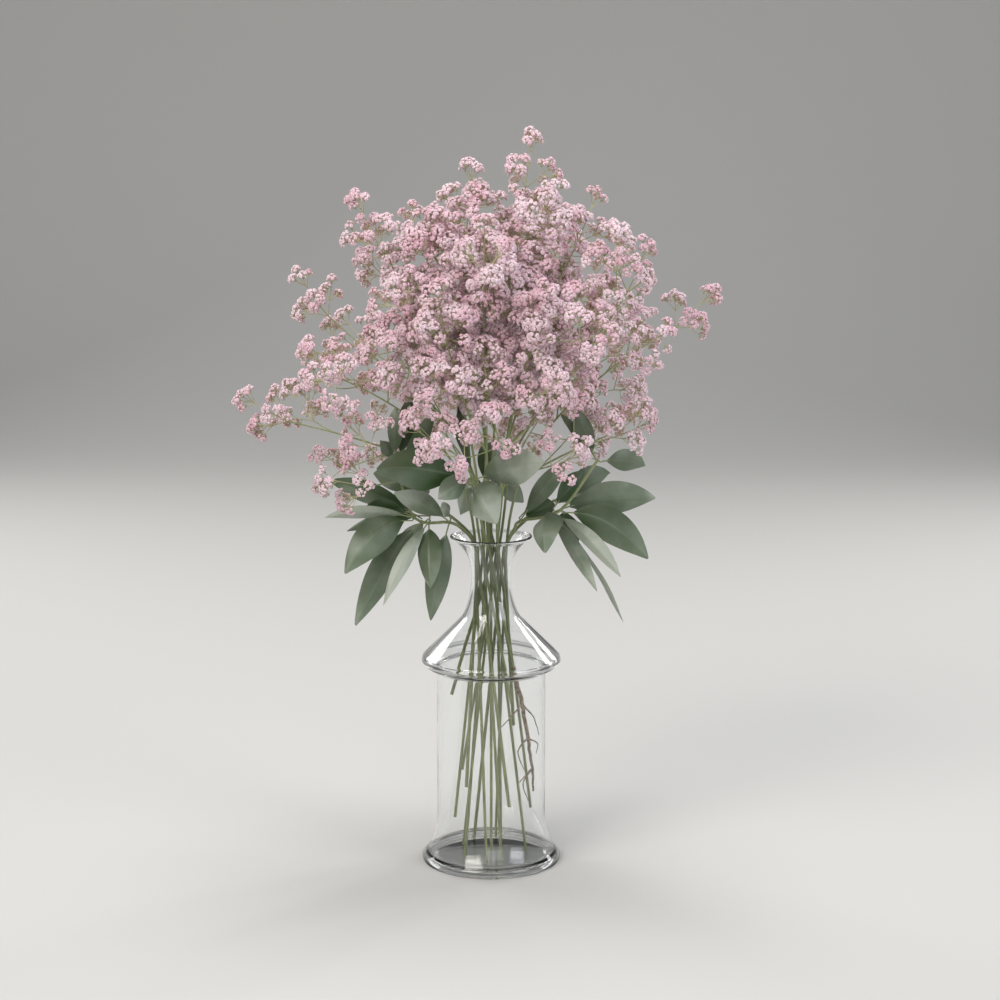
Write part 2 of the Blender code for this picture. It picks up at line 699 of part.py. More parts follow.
def grow_leaf(mesh, face, normal, curve, width, turn):
    """A pointed blade with a raised rib, its faces split alike above and below."""
    away = unit(normal + 0.6 * bezier_direction(curve, 0))
    face, _, _ = push(mesh, face, curve[0], away, carry(face), PETIOLE_RADIUS)
    edges = ()
    for t, share in LEAF_SHAPE:
        along, across = leaf_frame(curve, t, turn)
        half = max(width / 2 * share, BLADE_THICKNESS / 2)
        thin = BLADE_THICKNESS / 2 * (1 if t < 1 else 0.6)
        face, sides, ring = push(mesh, face, bezier(curve, t), along, across, half, thin, LEAF_FOLD * half)
        middles = (ring[1], ring[3])
        for side in sides if edges else ():
            rim = next(vert for vert in side.verts if vert in edges)
            rib = next(vert for vert in side.verts if vert in middles)
            bmesh.utils.face_split(side, rim, rib)
        edges = (ring[0], ring[2])


def grow_leafy_stem(route, leaves):
    direction = unit(route[1] - route[0])
    mesh, face = start_body(route[0], direction, STEM_RADIUS, FIRST_LENGTH)
    face = push_tube(mesh, face, route[1:FIRST_PLACE], [STEM_RADIUS] * (FIRST_PLACE - 1))
    for place in range(leaf_places(route)):
        own = [leaf for leaf in leaves if leaf[0] == place]
        for level in range(max(leaf[1] for leaf in own), -1, -1):
            ahead = ring_direction(route, place, level)
            centre = level_centre(route, place, level)
            face, sides = push_node(mesh, face, centre, ahead, square_to(ahead, UP), LEAFY_TIP_RADIUS)
            if level == 0 and place == leaf_places(route) - 1:
                sides.append(face)
            for _, _, normal, curve, width, turn in (leaf for leaf in own if leaf[1] == level):
                grow_leaf(mesh, take_side(sides, normal), normal, curve, width, turn)
    return mesh


def grow_root(stem_foot, stem_direction):
    """The brown root below a stem's cut end, with its side roots."""
    top = stem_foot - stem_direction * SEAT_GAP
    mesh, face = start_body(top, -stem_direction, ROOT_RADIUS, FIRST_LENGTH)
    course = [np.array(point) * MM for point in ROOT_COURSE]
    back = top
    for place, point in enumerate(course):
        branches = [[np.array(p) * MM for p in path] for at, path in SIDE_ROOTS if at == place]
        aim = branches[0][0] - point if branches else carry(face)
        radius = mix(ROOT_RADIUS, ROOT_TIP_RADIUS, (place + 1) / len(course))
        face, sides = push_node(mesh, face, point, unit(point - back), aim, radius)
        for path in branches:
            side = take_side(sides, path[0] - point)
            push_tube(mesh, side, path, SIDE_ROOT_RADII)
        back = point
    return mesh


def curve_points(start, control, end, steps):
    """Points of a bend in the bottle's outline, without its start."""
    return [bezier((start, control, end), (k + 1) / steps) for k in range(steps)]


def bottle_outline():
    """The glass wall's section: from the middle of the floor up the inside, and from the lip to the foot."""
    neck = np.array([NECK_RADIUS, NECK_HEIGHT])
    shoulder = np.array([SHOULDER_RADIUS, SHOULDER_TOP])
    lip = np.array([LIP_RADIUS, BOTTLE_HEIGHT])
    inset = np.array([GLASS, 0])
    slant = np.array([GLASS, GLASS]) * math.sqrt(0.5)
    cone_foot = np.array([COLLAR_RADIUS - 1 * MM, SHOULDER_RADIUS + SHOULDER_TOP - COLLAR_RADIUS + 1 * MM])
    collar_edge = np.array([COLLAR_RADIUS, COLLAR_UNDER + COLLAR_EDGE + 3 * MM])
    inside = BODY_RADIUS - GLASS
    to_shoulder = neck - [0, 0.6 * (NECK_HEIGHT - SHOULDER_TOP)]
    to_lip = neck + [0, 0.62 * (BOTTLE_HEIGHT - NECK_HEIGHT)]
    outline = [
        np.array([0, FLOOR_TOP]),
        np.array([inside - 5 * MM, FLOOR_TOP]),
        np.array([inside, FLOOR_TOP + 5 * MM]),
        np.array([inside, COLLAR_UNDER + GLASS]),
        collar_edge - [1.4 * GLASS, GLASS],
        cone_foot - slant * 1.3,
        shoulder - slant,
    ]
    outline += curve_points(shoulder - slant, to_shoulder - inset, neck - inset, 3)
    outline += curve_points(neck - inset, to_lip - inset, lip - inset - [0, 1 * MM], 3)
    outline += [lip + [-1.2 * MM, 0.6 * MM], lip]
    outline += curve_points(lip, to_lip, neck, 3)
    outline += curve_points(neck, to_shoulder, shoulder, 3)
    outline += [
        cone_foot,
        collar_edge,
        np.array([COLLAR_RADIUS - COLLAR_EDGE, COLLAR_UNDER + 2 * MM]),
        np.array([BODY_RADIUS, COLLAR_UNDER - 1 * MM]),
    ]
    waist, foot_edge = np.array([BODY_RADIUS, FOOT_HEIGHT]), np.array([FOOT_RADIUS, FOOT_EDGE])
    outline += [waist, *curve_points(waist, waist - [0, 0.6 * FOOT_HEIGHT], foot_edge, 3)]
    outline += [np.array([FOOT_RADIUS - FOOT_EDGE, 0]), np.array([0, 0])]
    return outline


def build_bottle():
    mesh = bpy.data.meshes.new("glass_vase")
    shape = bmesh.new()
    points = [shape.verts.new((radius, 0, height)) for radius, height in bottle_outline()]
    for a, b in zip(points, points[1:]):
        shape.edges.new((a, b))
    shape.to_mesh(mesh)
    shape.free()
    bottle = bpy.data.objects.new("glass_vase", mesh)
    screw = bottle.modifiers.new("turn", "SCREW")
    screw.steps = screw.render_steps = BOTTLE_SIDES
    screw.use_merge_vertices = True
    screw.merge_threshold = 0.0001
    screw.use_smooth_shade = True
    return bottle


def material(name, colour, roughness, transmission=0.0):
    made = bpy.data.materials.new(name)
    made.use_nodes = True
    surface = made.node_tree.nodes["Principled BSDF"]
    surface.inputs["Base Color"].default_value = colour
    surface.inputs["Roughness"].default_value = roughness
    surface.inputs["Metallic"].default_value = 0.0
    surface.inputs["Transmission Weight"].default_value = transmission
    made.diffuse_color = colour
    return made


def add_grown(collection, name, shape, finish):
    mesh = bpy.data.meshes.new(name)
    shape.to_mesh(mesh)
    shape.free()
    mesh.materials.append(finish)
    collection.objects.link(bpy.data.objects.new(name, mesh))


def reserve_lip(space):
    """Keeps the bottle's lip free of leaves and flowers."""
    radius = LIP_RADIUS - GLASS / 2
    ring = [polar(radius, math.tau * k / LIP_BARS, BOTTLE_HEIGHT) for k in range(LIP_BARS + 1)]
    reserve_path(space, ring, GLASS, LIP_NODE, 0)


def reserve_path(space, points, radius, node, piece):
    for a, b in zip(points, points[1:]):
        space.add(a, b, radius, node, piece)


def main():
    for thing in list(bpy.data.objects):
        bpy.data.objects.remove(thing)
    collection = bpy.data.collections.new("gypsophila_in_bottle")
    bpy.context.scene.collection.children.link(collection)

    glass = material("clear_glass", (0.95, 0.97, 0.96, 1), 0.02, 1.0)
    pink = material("flower_pink", PETAL_PINK, 0.7)
    green = material("leaf_green", LEAF_GREEN, 0.55)
    brown = material("root_brown", ROOT_BROWN, 0.8)

    bottle = build_bottle()
    bottle.data.materials.append(glass)
    collection.objects.link(bottle)

    space = Space()
    reserve_lip(space)
    routes = {name: trunk_route(*stem[:5]) for name, stem in FLOWER_STEMS.items()}
    curves = {}
    for node, (name, route) in enumerate(routes.items()):
        reserve_path(space, route[1:], STEM_RADIUS, node, 0)
        for number, curve in enumerate(head_curves(route, FLOWER_STEMS[name][5])):
            curves[name, number] = curve
            steps = [bezier(curve, t) for t in np.linspace(0, 1, STALK_BARS + 1)]
            reserve_path(space, steps, FORK_RADIUS, node, 1 + number)
    leafy_routes = {name: leafy_route(*stem[:4]) for name, stem in LEAFY_STEMS.items()}
    for index, route in enumerate(leafy_routes.values()):
        reserve_path(space, route[1:], STEM_RADIUS, LEAFY_NODE + index, 0)

    leaves = settle_leaves(space, leafy_routes)
    hubs = grow_hubs(space, curves)

    for name, stem in FLOWER_STEMS.items():
        own = range(len(stem[5]))
        shape = grow_flower_stem(routes[name], [curves[name, k] for k in own], [hubs[name, k] for k in own])
        add_grown(collection, "flower_spray_" + name, shape, pink)
    for name, route in leafy_routes.items():
        add_grown(collection, "leafy_stem_" + name, grow_leafy_stem(route, leaves[name]), green)
    route = leafy_routes["front"]
    add_grown(collection, "root", grow_root(route[0], unit(route[1] - route[0])), brown)


main()
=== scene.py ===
# Pink gypsophila and broad grey-green leaves in a glass bottle: the looks
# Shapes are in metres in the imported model's frame, and azimuths run anticlockwise from +X seen from above
# Settings are in mm, or in metres where they say * mm

import math
import random

import bmesh
import bpy
import numpy as np
from mathutils import Matrix, Vector


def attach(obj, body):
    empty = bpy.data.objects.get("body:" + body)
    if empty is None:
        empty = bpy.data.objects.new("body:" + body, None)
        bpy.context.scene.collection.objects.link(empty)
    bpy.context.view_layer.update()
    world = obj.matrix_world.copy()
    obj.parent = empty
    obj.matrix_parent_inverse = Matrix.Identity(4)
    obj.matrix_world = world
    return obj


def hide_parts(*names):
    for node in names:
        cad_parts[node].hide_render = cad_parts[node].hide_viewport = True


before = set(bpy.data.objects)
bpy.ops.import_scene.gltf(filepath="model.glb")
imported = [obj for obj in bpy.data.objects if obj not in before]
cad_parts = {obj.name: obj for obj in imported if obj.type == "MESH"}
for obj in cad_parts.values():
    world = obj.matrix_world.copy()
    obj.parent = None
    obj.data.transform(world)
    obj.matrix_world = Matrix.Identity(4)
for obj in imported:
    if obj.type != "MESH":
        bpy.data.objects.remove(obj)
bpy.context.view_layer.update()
mm = 0.001
print("frame loaded:", len(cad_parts), "solids")

camera = {
    "place": (0.0081, -2.0914, 0.7119),
    "tilt": 79.8,  # degrees up from straight down
    "lens": 85,
    "sensor": 36,
}


def addCamera():
    view = bpy.data.cameras.new("camera")
    view.lens = camera["lens"]
    view.sensor_width = camera["sensor"]
    eye = bpy.data.objects.new("camera", view)
    eye.location = camera["place"]
    eye.rotation_euler = (math.radians(camera["tilt"]), 0, 0)
    bpy.context.scene.collection.objects.link(eye)
    bpy.context.scene.camera = eye


addCamera()
print("camera set")

upWay = np.array([0, 0, 1])
frontWay = np.array([0, -0.984, 0.178])
askew = np.array([0.31, -0.17, 0.93])  # runs along no stem, so turns are measured from it
goldenAngle = math.radians(137.508)

# How stems grow, and how much room their parts keep, which is the same as in the solids
growth = {
    "seed": 11,
    "stem": 1.6 * mm,  # radii
    "stalk": 1.4 * mm,
    "branch": 0.7 * mm,
    "twig": 0.6 * mm,
    "cluster": 15.0 * mm,
    "ownGap": 0.4 * mm,  # between the parts of one stem
    "otherGap": 0.7 * mm,
    "seatGap": 0.3 * mm,
    "rings": {"centre": 0.0, "inner": 6.3 * mm, "outer": 13.6 * mm},  # places in the bottle's neck
    "straightTop": 290.0 * mm,
    "stalkAngle": math.radians(38),
    "stalkBars": 8,
    "fanTilt": math.radians(46),
    "fanReach": 27.0 * mm,  # from a hub to the clusters that lean out
    "centreReach": 44.0 * mm,  # and to the one in the middle
    "branchAngle": math.radians(48),
    "branchReach": 33.0 * mm,
    "rootShare": 0.25,  # share of a branch that may touch what it springs from
    "rootSpacing": 6.0 * mm,
    "firstRoot": 0.84,  # share of the stalk where its first branch springs
    "rootSpan": 0.5,  # and over how much of it the others follow
    "rootLimits": (0.2, 0.92),
    "headTurn": 1.3,  # from the branches of one stalk to those of the next, in radians
    "tipUp": 0.35,  # how far the clusters at a tip and on a branch turn up
    "branchUp": 0.5,
    "tipTrials": 60,
    "branchTrials": 160,
    "mostClusters": 270,
    "lowest": 330.0 * mm,
}

# How leafy stems grow, with the room that leaves keep
leafy = {
    # a blade's outline: share of the length, share of the width
    "outline": [(0.14, 0.1), (0.28, 0.62), (0.46, 0.98), (0.64, 1.0), (0.83, 0.66), (1.0, 0.05)],
    "bladeRoom": 2.2 * mm,
    "baseRoom": 1.2 * mm,  # where the blade begins
    "stalk": 0.8 * mm,
    "stalkReach": 3.2 * mm,  # from the stem's middle to where a leaf begins
    "laneWidth": 6.0 * mm,
    "tip": 1.3 * mm,  # the stem's radius at its end
    "shift": 24 * mm,  # how far a leaf may shift to find room
    "trials": 60,
    "firstPlace": 4,  # the point of the stem where the first leaves spring
    "seatsTried": 3,
    "perLevel": 3,
    "levelSpacing": 7.0 * mm,
    "overLip": (19.0 * mm, 309.0 * mm),  # radius and height
}

# What owns the space that is taken: leafy stems, the lip and branches are counted from these numbers
owners = {"leafy": 100, "lip": 999, "branch": 1000}

# Each flowering stem: ring and azimuth in the neck, slope of its straight part, height of the cut end
# (0 stands on the bottle's floor), fork (distance, azimuth, height), and each head's top and side branches
flowerStems = {
    "top": ("centre", 0, 0.0, 0, (3, 0, 400), [((36, 5, 658), 8), ((-26, 25, 632), 7)]),
    "left_high": ("inner", 211, 0.11, 0, (17, 182, 385), [((-116, -15, 604), 6), ((-178, 15, 530), 5)]),
    "front_high": ("inner", 283, 0.12, 0, (16, 255, 382), [((-5, -85, 590), 8), ((-50, -110, 530), 8)]),
    "right_high": ("inner", 355, 0.12, 0, (17, 324, 385), [((50, -110, 535), 8), ((146, -30, 560), 6)]),
    "right_back": ("inner", 67, 0.12, 0, (17, 36, 385), [((92, 10, 608), 6), ((70, 125, 580), 5)]),
    "back_high": ("inner", 139, 0.11, 0, (17, 108, 385), [((-75, 120, 590), 5), ((0, 175, 500), 4)]),
    "left_low": ("outer", 194, 0.145, 0, (26, 180, 352), [((-160, -60, 480), 4), ((-222, -22, 425), 2)]),
    "front_low": ("outer", 254, 0.2, 152, (26, 235, 352), [((-66, -95, 425), 2), ((-143, -78, 362), 2)]),
    "front_right": ("outer", 314, 0.17, 43, (26, 295, 352), [((2, -125, 432), 4), ((80, -98, 395), 2)]),
    "right_low": ("outer", 14, 0.145, 0, (26, 352, 355), [((196, 18, 520), 4), ((138, -50, 420), 3)]),
    "back_right": ("outer", 74, 0.17, 78, (26, 55, 352), [((135, 125, 480), 4), ((60, 165, 410), 3)]),
    "back_left": ("outer", 134, 0.145, 43, (26, 125, 352), [((-140, 120, 490), 4), ((-70, 165, 400), 3)]),
}

# Hubs with a place of their own: stem, stalk, share of the stalk where the branch leaves it, hub
setHubs = [
    ("front_right", 0, 0.8, (-22, -112, 392)),
]

# Each leafy stem: azimuth in the neck, slope, cut end, the places where its leaves spring from it, and
# its leaves in the order in which they take their places: place, tip, width, lift, turn from facing the front
leafyStems = {
    "left": (224, 0.18, 60, [(-37, -15, 318), (-68, -25, 324), (-84, -30, 374)], [
        (1, (-128, -62, 281), 30, 26, 10), (1, (-121, -35, 228), 26, 22, -10), (1, (-53, -58, 267), 22, 12, 15),
        (0, (-54, -28, 231), 22, 14, 10), (1, (-91, -52, 257), 13, 14, -20), (1, (-92, -12, 266), 20, 14, 30),
        (1, (-116, -20, 327), 20, 12, -35), (1, (-147, 5, 353), 21, 8, 25), (1, (-148, -35, 325), 12, 12, 0),
        (0, (-85, -50, 351), 20, 8, -20), (1, (-128, -8, 311), 12, 10, 30), (0, (-43, -42, 341), 12, 4, 20),
        (2, (-84, -30, 424), 14, 2, -10), (2, (-70, -15, 433), 20, 0, 15), (2, (-50, -35, 419), 15, 0, 20),
        (2, (-98, -25, 394), 12, 3, 30),
    ]),
    "front": (284, 0.2, 182, [(-17, -45, 362)], [
        (0, (-98, -88, 378), 36, 8, 10), (0, (47, -92, 386), 31, 4, 0), (0, (5, -85, 330), 34, 14, 20),
        (0, (-25, -38, 424), 33, -4, 15), (0, (-47, -75, 349), 20, 6, 10),
    ]),
    "right": (344, 0.19, 120, [(27, -8, 318), (62, -30, 332), (95, -18, 375)], [
        (1, (139, -45, 291), 30, 24, -10), (1, (47, -78, 303), 28, 14, 35), (1, (147, -15, 340), 29, 12, 15),
        (1, (116, -62, 281), 15, 16, 10), (1, (94, -50, 262), 13, 14, 10), (1, (119, -25, 229), 12, 22, 70),
        (0, (57, -20, 336), 23, 5, 25), (0, (65, -40, 377), 17, 4, 10), (2, (139, 5, 366), 20, 8, 20),
        (1, (72, 0, 290), 21, 12, 30), (2, (75, -15, 421), 16, 0, 10), (1, (84, 0, 361), 18, 2, 30),
        (0, (57, -5, 345), 12, 4, 50), (2, (63, -5, 414), 12, 4, 30),
    ]),
    "back_right": (44, 0.145, 0, [(58, 30, 330)], [
        (0, (122, 45, 300), 24, 20, 40), (0, (95, 85, 310), 26, 22, 60), (0, (110, 60, 350), 22, 12, 30),
    ]),
    "back": (104, 0.3, 154, [(-8, 62, 335)], [
        (0, (-30, 120, 300), 26, 22, 30), (0, (30, 118, 312), 26, 20, -30), (0, (4, 105, 372), 24, 8, 20),
    ]),
    "back_left": (164, 0.17, 76, [(-60, 32, 330)], [
        (0, (-118, 60, 290), 26, 22, 30), (0, (-80, 98, 305), 26, 22, 60), (0, (-108, 45, 352), 22, 10, 20),
    ]),
}

# The crown's outline as seen from the front and 10 degrees above: x, and height where y is 0
crownOutline = [
    (27, 650), (45, 650), (57, 606), (88, 598), (121, 573), (150, 545), (160, 525), (191, 516), (196, 496),
    (158, 473), (148, 444), (144, 397), (112, 362), (80, 352), (49, 363), (30, 382), (-2, 352), (-46, 352),
    (-58, 385), (-82, 348), (-145, 335), (-162, 352), (-140, 378), (-180, 380), (-223, 388), (-230, 422),
    (-197, 430), (-182, 444), (-186, 480), (-185, 528), (-160, 537), (-126, 566), (-126, 604), (-99, 606),
    (-54, 593), (-34, 624), (-1, 628), (12, 610),
]
viewRise = 0.18  # how much higher a point is seen for each step back


def polar(radius, azimuth, height):
    return np.array([radius * math.cos(azimuth), radius * math.sin(azimuth), height])


def inMetres(points):
    return [np.array(point) * mm for point in points]


def unit(vector):
    return vector / np.linalg.norm(vector)


def mix(a, b, share):
    return a * (1 - share) + b * share


def bezier(curve, t):
    a, b, c = curve
    return a * (1 - t) ** 2 + b * 2 * t * (1 - t) + c * t**2


def bezierDirection(curve, t):
    a, b, c = curve
    return unit((b - a) * (1 - t) + (c - b) * t)


def leaning(along, outward, angle):
    # A direction that leans from one way towards another that is square to it
    return math.cos(angle) * along + math.sin(angle) * outward


def turned(vector, axis, angle):
    # A vector turned about an axis that is square to it
    return leaning(vector, np.cross(axis, vector), angle)


def squareTo(direction, towards):
    # The part of a vector that is square to a direction, at length 1
    flat = towards - direction * (towards @ direction)
    if np.linalg.norm(flat) < 1e-9:
        flat = np.cross(direction, askew)
    return unit(flat)


class Space:
    # What is placed so far, as round-ended bars, so that what grows next keeps clear of it
    # A bar's owner is the number of its stem and the number of the stem's part

    def __init__(self):
        self.bars = []
        self.table = None

    def add(self, start, end, radius, owner):
        self.bars.append((*start, *end, radius, *owner))
        self.table = None

    def addPath(self, points, radius, owner):
        for start, end in zip(points, points[1:]):
            self.add(start, end, radius, owner)

    def isClear(self, start, end, radius, owner):
        # Whether a bar keeps clear of all others, apart from its own part's
        if self.table is None:
            self.table = np.array(self.bars)
        sameStem = self.table[:, 7] == owner[0]
        isOther = ~(sameStem & (self.table[:, 8] == owner[1]))
        others = self.table[isOther]
        margin = np.where(sameStem[isOther], growth["ownGap"], growth["otherGap"])
        gaps = barDistances(others[:, 0:3], others[:, 3:6], start, end) - others[:, 6] - radius
        return bool((gaps > margin).all())


def barDistances(starts, ends, a, b):
    # Distance from the line a-b to each of many lines, all of them with ends
    tiny, parallel = 1e-12, 1e-14
    along, others = b - a, ends - starts
    offset = a - starts
    n1 = max(float(along @ along), tiny)
    n2 = np.maximum((others * others).sum(1), tiny)
    f, c, across = (others * offset).sum(1), offset @ along, others @ along
    room = n1 * n2 - across**2
    s = np.clip(np.where(room > parallel, (across * f - c * n2) / np.maximum(room, parallel), 0), 0, 1)
    t = np.clip((across * s + f) / n2, 0, 1)
    s = np.clip((across * t - c) / n1, 0, 1)
    apart = (a + np.outer(s, along)) - (starts + others * t[:, None])
    return np.sqrt((apart * apart).sum(1))


def neckLine(ring, azimuth, slope, height):
    # A stem's place at a height of its straight part. All of the stems lean one way round
    place, neckHeight = math.radians(azimuth), bottle["neck"][1] * mm
    lean = polar(slope, place - math.pi / 2, 1)
    return polar(growth["rings"][ring], place, neckHeight) + (height - neckHeight) * lean


def straightPart(ring, azimuth, slope, cut):
    standing = bottle["floorTop"] * mm + growth["seatGap"] + growth["stem"] * slope
    return [
        neckLine(ring, azimuth, slope, cut * mm if cut else standing),
        neckLine(ring, azimuth, slope, growth["straightTop"]),
    ]


def trunkBend(foot, top, fork):
    # The curve on which a stem leaves its straight part for its fork
    return top, top + unit(top - foot) * 0.5 * np.linalg.norm(fork - top), fork


def trunkRoute(ring, azimuth, slope, cut, fork):
    # Points from the cut end, straight through the neck, and on a bend to the fork
    foot, top = straightPart(ring, azimuth, slope, cut)
    radius, towards, height = fork
    end = polar(radius * mm, math.radians(towards), height * mm)
    return [foot, top, bezier(trunkBend(foot, top, end), 0.5), end]


def leafyRoute(azimuth, slope, cut, places):
    # Points from the cut end, through the neck and over the lip, to each place where leaves spring
    foot, top = straightPart("outer", azimuth, slope, cut)
    stops = inMetres(places)
    radius, height = leafy["overLip"]
    bow = (top, polar(radius, math.atan2(stops[0][1], stops[0][0]), height), stops[0])
    return [foot, top, bezier(bow, 0.33), bezier(bow, 0.66), *stops]


def headCurves(route, heads):
    # Each head's stalk from the fork, as a curve's start, control point and end
    # The first goes on from the stem, and the others leave it at a wide enough angle to part from it
    fork = route[-1]
    ahead = unit(fork - route[-2])
    curves = []
    for number, (tip, _) in enumerate(heads):
        tip = np.array(tip) * mm
        tip = tip - unit(tip - fork) * growth["centreReach"]
        aim = unit(tip - fork)
        rise = unit(ahead + 0.2 * aim)
        if number:
            main = bezierDirection(curves[0], 0)
            angle = max(growth["stalkAngle"], 0.7 * math.acos(min(1, main @ aim)))
            rise = leaning(main, squareTo(main, aim), angle)
        curves.append((fork, fork + rise * 0.4 * np.linalg.norm(tip - fork), tip))
    return curves


def fan(hub, axis, turn, count):
    # Centres of the clusters round a hub: two or three that lean out, and a fourth in the middle
    side = squareTo(axis, askew)
    around = min(count, 3)
    clusters = []
    for k in range(around):
        outward = turned(side, axis, turn + k * math.tau / around)
        clusters.append(hub + growth["fanReach"] * leaning(axis, outward, growth["fanTilt"]))
    if count == 4:
        clusters.append(hub + growth["centreReach"] * axis)
    return clusters


def seenHeight(point):
    return point[2] + viewRise * point[1]


def inCrown(point):
    # Whether a point is seen within the crown's outline
    x, z = point[0] / mm, seenHeight(point) / mm
    inside = False
    for (x0, z0), (x1, z1) in zip(crownOutline, crownOutline[1:] + crownOutline[:1]):
        if (z0 > z) != (z1 > z) and x < x0 + (z - z0) * (x1 - x0) / (z1 - z0):
            inside = not inside
    return inside


def hasRoom(space, owner, root, hub, clusters):
    # Whether a hub's branch, twigs and clusters are clear. A hub at a stalk's tip has no branch
    if any(centre[2] < growth["lowest"] for centre in clusters):
        return False
    share = growth["rootShare"]
    bars = [(centre, centre, growth["cluster"]) for centre in clusters]
    bars += [(mix(hub, centre, share), centre, growth["twig"]) for centre in clusters]
    if root is not None:
        if not all(inCrown(centre) for centre in clusters):
            return False
        bars.insert(0, (mix(root, hub, share), hub, growth["branch"]))
    return all(space.isClear(*bar, owner) for bar in bars)


def settle(space, owner, place, root, hub, clusters):
    # Takes the room for a hub: (its place on the stalk, where it is, its clusters)
    if root is not None:
        space.add(root, hub, growth["branch"], owner)
    for centre in clusters:
        space.add(centre, centre, growth["cluster"], owner)
        space.add(hub, centre, growth["twig"], owner)
    return place, hub, clusters


def endHub(space, chance, owner, curve):
    # The hub at a stalk's tip, with fewer clusters where room is short
    hub = curve[2]
    axis = unit(bezierDirection(curve, 1) + growth["tipUp"] * upWay)
    for trial in range(growth["tipTrials"]):
        loose = trial / growth["tipTrials"]
        count = 4 if loose < 0.25 else 3 if loose < 0.5 else 2
        clusters = fan(hub, axis, chance.uniform(0, math.tau), count)
        if hasRoom(space, owner, None, hub, clusters):
            return settle(space, owner, 1.0, None, hub, clusters)
    return None


def sideHub(space, chance, owner, curve, place, turn, taken):
    # A side branch's hub, which turns and shifts until it has room
    length = np.linalg.norm(curve[2] - curve[0])
    first, last = growth["rootLimits"]
    for trial in range(growth["branchTrials"]):
        loose = trial / growth["branchTrials"]
        here = min(last, max(first, place + chance.uniform(-0.05, 0.05) * (1 + 8 * loose)))
        if any(abs(here - other) * length < growth["rootSpacing"] for other in taken):
            continue
        root = bezier(curve, here)
        along = bezierDirection(curve, here)
        outward = turned(squareTo(along, askew), along, turn + chance.uniform(-0.4, 0.4) * (1 + 7 * loose))
        aim = leaning(along, outward, growth["branchAngle"] * chance.uniform(0.85, 1.2))
        reach = growth["branchReach"] + 0.22 * (1 - here) * length
        hub = root + aim * reach * chance.uniform(0.85 - 0.2 * loose, 1.25 + 0.4 * loose)
        count = 4 if loose < 0.35 else 3 if loose < 0.8 else 2
        axis = unit(aim + growth["branchUp"] * upWay)
        clusters = fan(hub, axis, chance.uniform(0, math.tau), count)
        if hasRoom(space, owner, root, hub, clusters):
            return settle(space, owner, here, root, hub, clusters)
    return None


def growHubs(space, curves):
    # Every stalk's hubs: the tips, those with a place of their own, and then a side branch for each in turn
    chance = random.Random(growth["seed"])
    hubs = {key: [] for key in curves}
    stems = list(flowerStems)
    part = owners["branch"]
    for key, curve in curves.items():
        part += 1
        hub = endHub(space, chance, (stems.index(key[0]), part), curve)
        if hub:
            hubs[key].append(hub)
    for name, number, here, centre in setHubs:
        part += 1
        root, hub = bezier(curves[name, number], here), np.array(centre) * mm
        clusters = fan(hub, unit(unit(hub - root) + growth["branchUp"] * upWay), 0.0, 4)
        hubs[name, number].append(settle(space, (stems.index(name), part), here, root, hub, clusters))
    most = max(head[1] for stem in flowerStems.values() for head in stem[5])
    for rank in range(most):
        for key, curve in curves.items():
            name, number = key
            branches = flowerStems[name][5][number][1]
            if rank >= branches or clusterCount(hubs) >= growth["mostClusters"]:
                continue
            part += 1
            place = growth["firstRoot"] - growth["rootSpan"] * rank / max(branches - 1, 1)
            turn = rank * goldenAngle + growth["headTurn"] * number
            taken = [hub[0] for hub in hubs[key]]
            hub = sideHub(space, chance, (stems.index(name), part), curve, place, turn, taken)
            if hub:
                hubs[key].append(hub)
    return hubs


def clusterCount(hubs):
    return sum(len(hub[2]) for own in hubs.values() for hub in own)


def leafFrame(curve, t, turn):
    # Directions along and across a leaf at a place on its curve
    along = bezierDirection(curve, t)
    across = squareTo(along, np.cross(along, frontWay))
    return along, turned(across, along, turn)


def leafBars(curve, width, turn):
    # A leaf as bars: one for its stalk, and side by side along its blade
    outline = leafy["outline"]
    base = outline[0][0]
    lanes = max(2, round(width / leafy["laneWidth"]))
    bars = [(curve[0], bezier(curve, base), leafy["stalk"])]
    for (t0, s0), (t1, s1) in zip(outline, outline[1:]):
        across0, across1 = leafFrame(curve, t0, turn)[1], leafFrame(curve, t1, turn)[1]
        for lane in range(lanes):
            share = lane / (lanes - 1) - 0.5
            bars.append((
                bezier(curve, t0) + across0 * share * width * s0,
                bezier(curve, t1) + across1 * share * width * s1,
                leafy["baseRoom"] if t0 == base else leafy["bladeRoom"],
            ))
    return bars


def placeLeaf(space, chance, owner, base, leaf):
    # A leaf's curve and turn. It shifts and turns a little more at each try until it has room
    _, tip, width, lift, turn = leaf
    tip, width, lift, turn = np.array(tip) * mm, width * mm, lift * mm, math.radians(turn)
    for trial in range(leafy["trials"]):
        loose = leafy["shift"] * trial / leafy["trials"]
        here = tip + np.array([0.35, 1.0, 0.35]) * [chance.uniform(-loose, loose) for _ in range(3)]
        curve = (base, mix(base, here, 0.5) + np.array([0, 0, lift]), here)
        twist = turn + chance.uniform(-1.2, 1.2) * trial / leafy["trials"]
        bars = leafBars(curve, width, twist)
        if all(space.isClear(*bar, owner) for bar in bars):
            for bar in bars:
                space.add(*bar, owner)
            return curve, twist
    return None


def isLast(route, place):
    return place == len(route) - leafy["firstPlace"] - 1


def placeDirection(route, place):
    # The stem's direction at a place where leaves spring: between the way in and the way on
    here = leafy["firstPlace"] + place
    wayIn = unit(route[here] - route[here - 1])
    return wayIn if isLast(route, place) else unit(wayIn + unit(route[here + 1] - route[here]))


def levelCentre(route, place, level):
    # Centre of one ring of leaves. The first is at its place on the stem, and the next ones before it
    here = leafy["firstPlace"] + place
    back = unit(route[here - 1] - route[here])
    return route[here] + back * leafy["levelSpacing"] * level


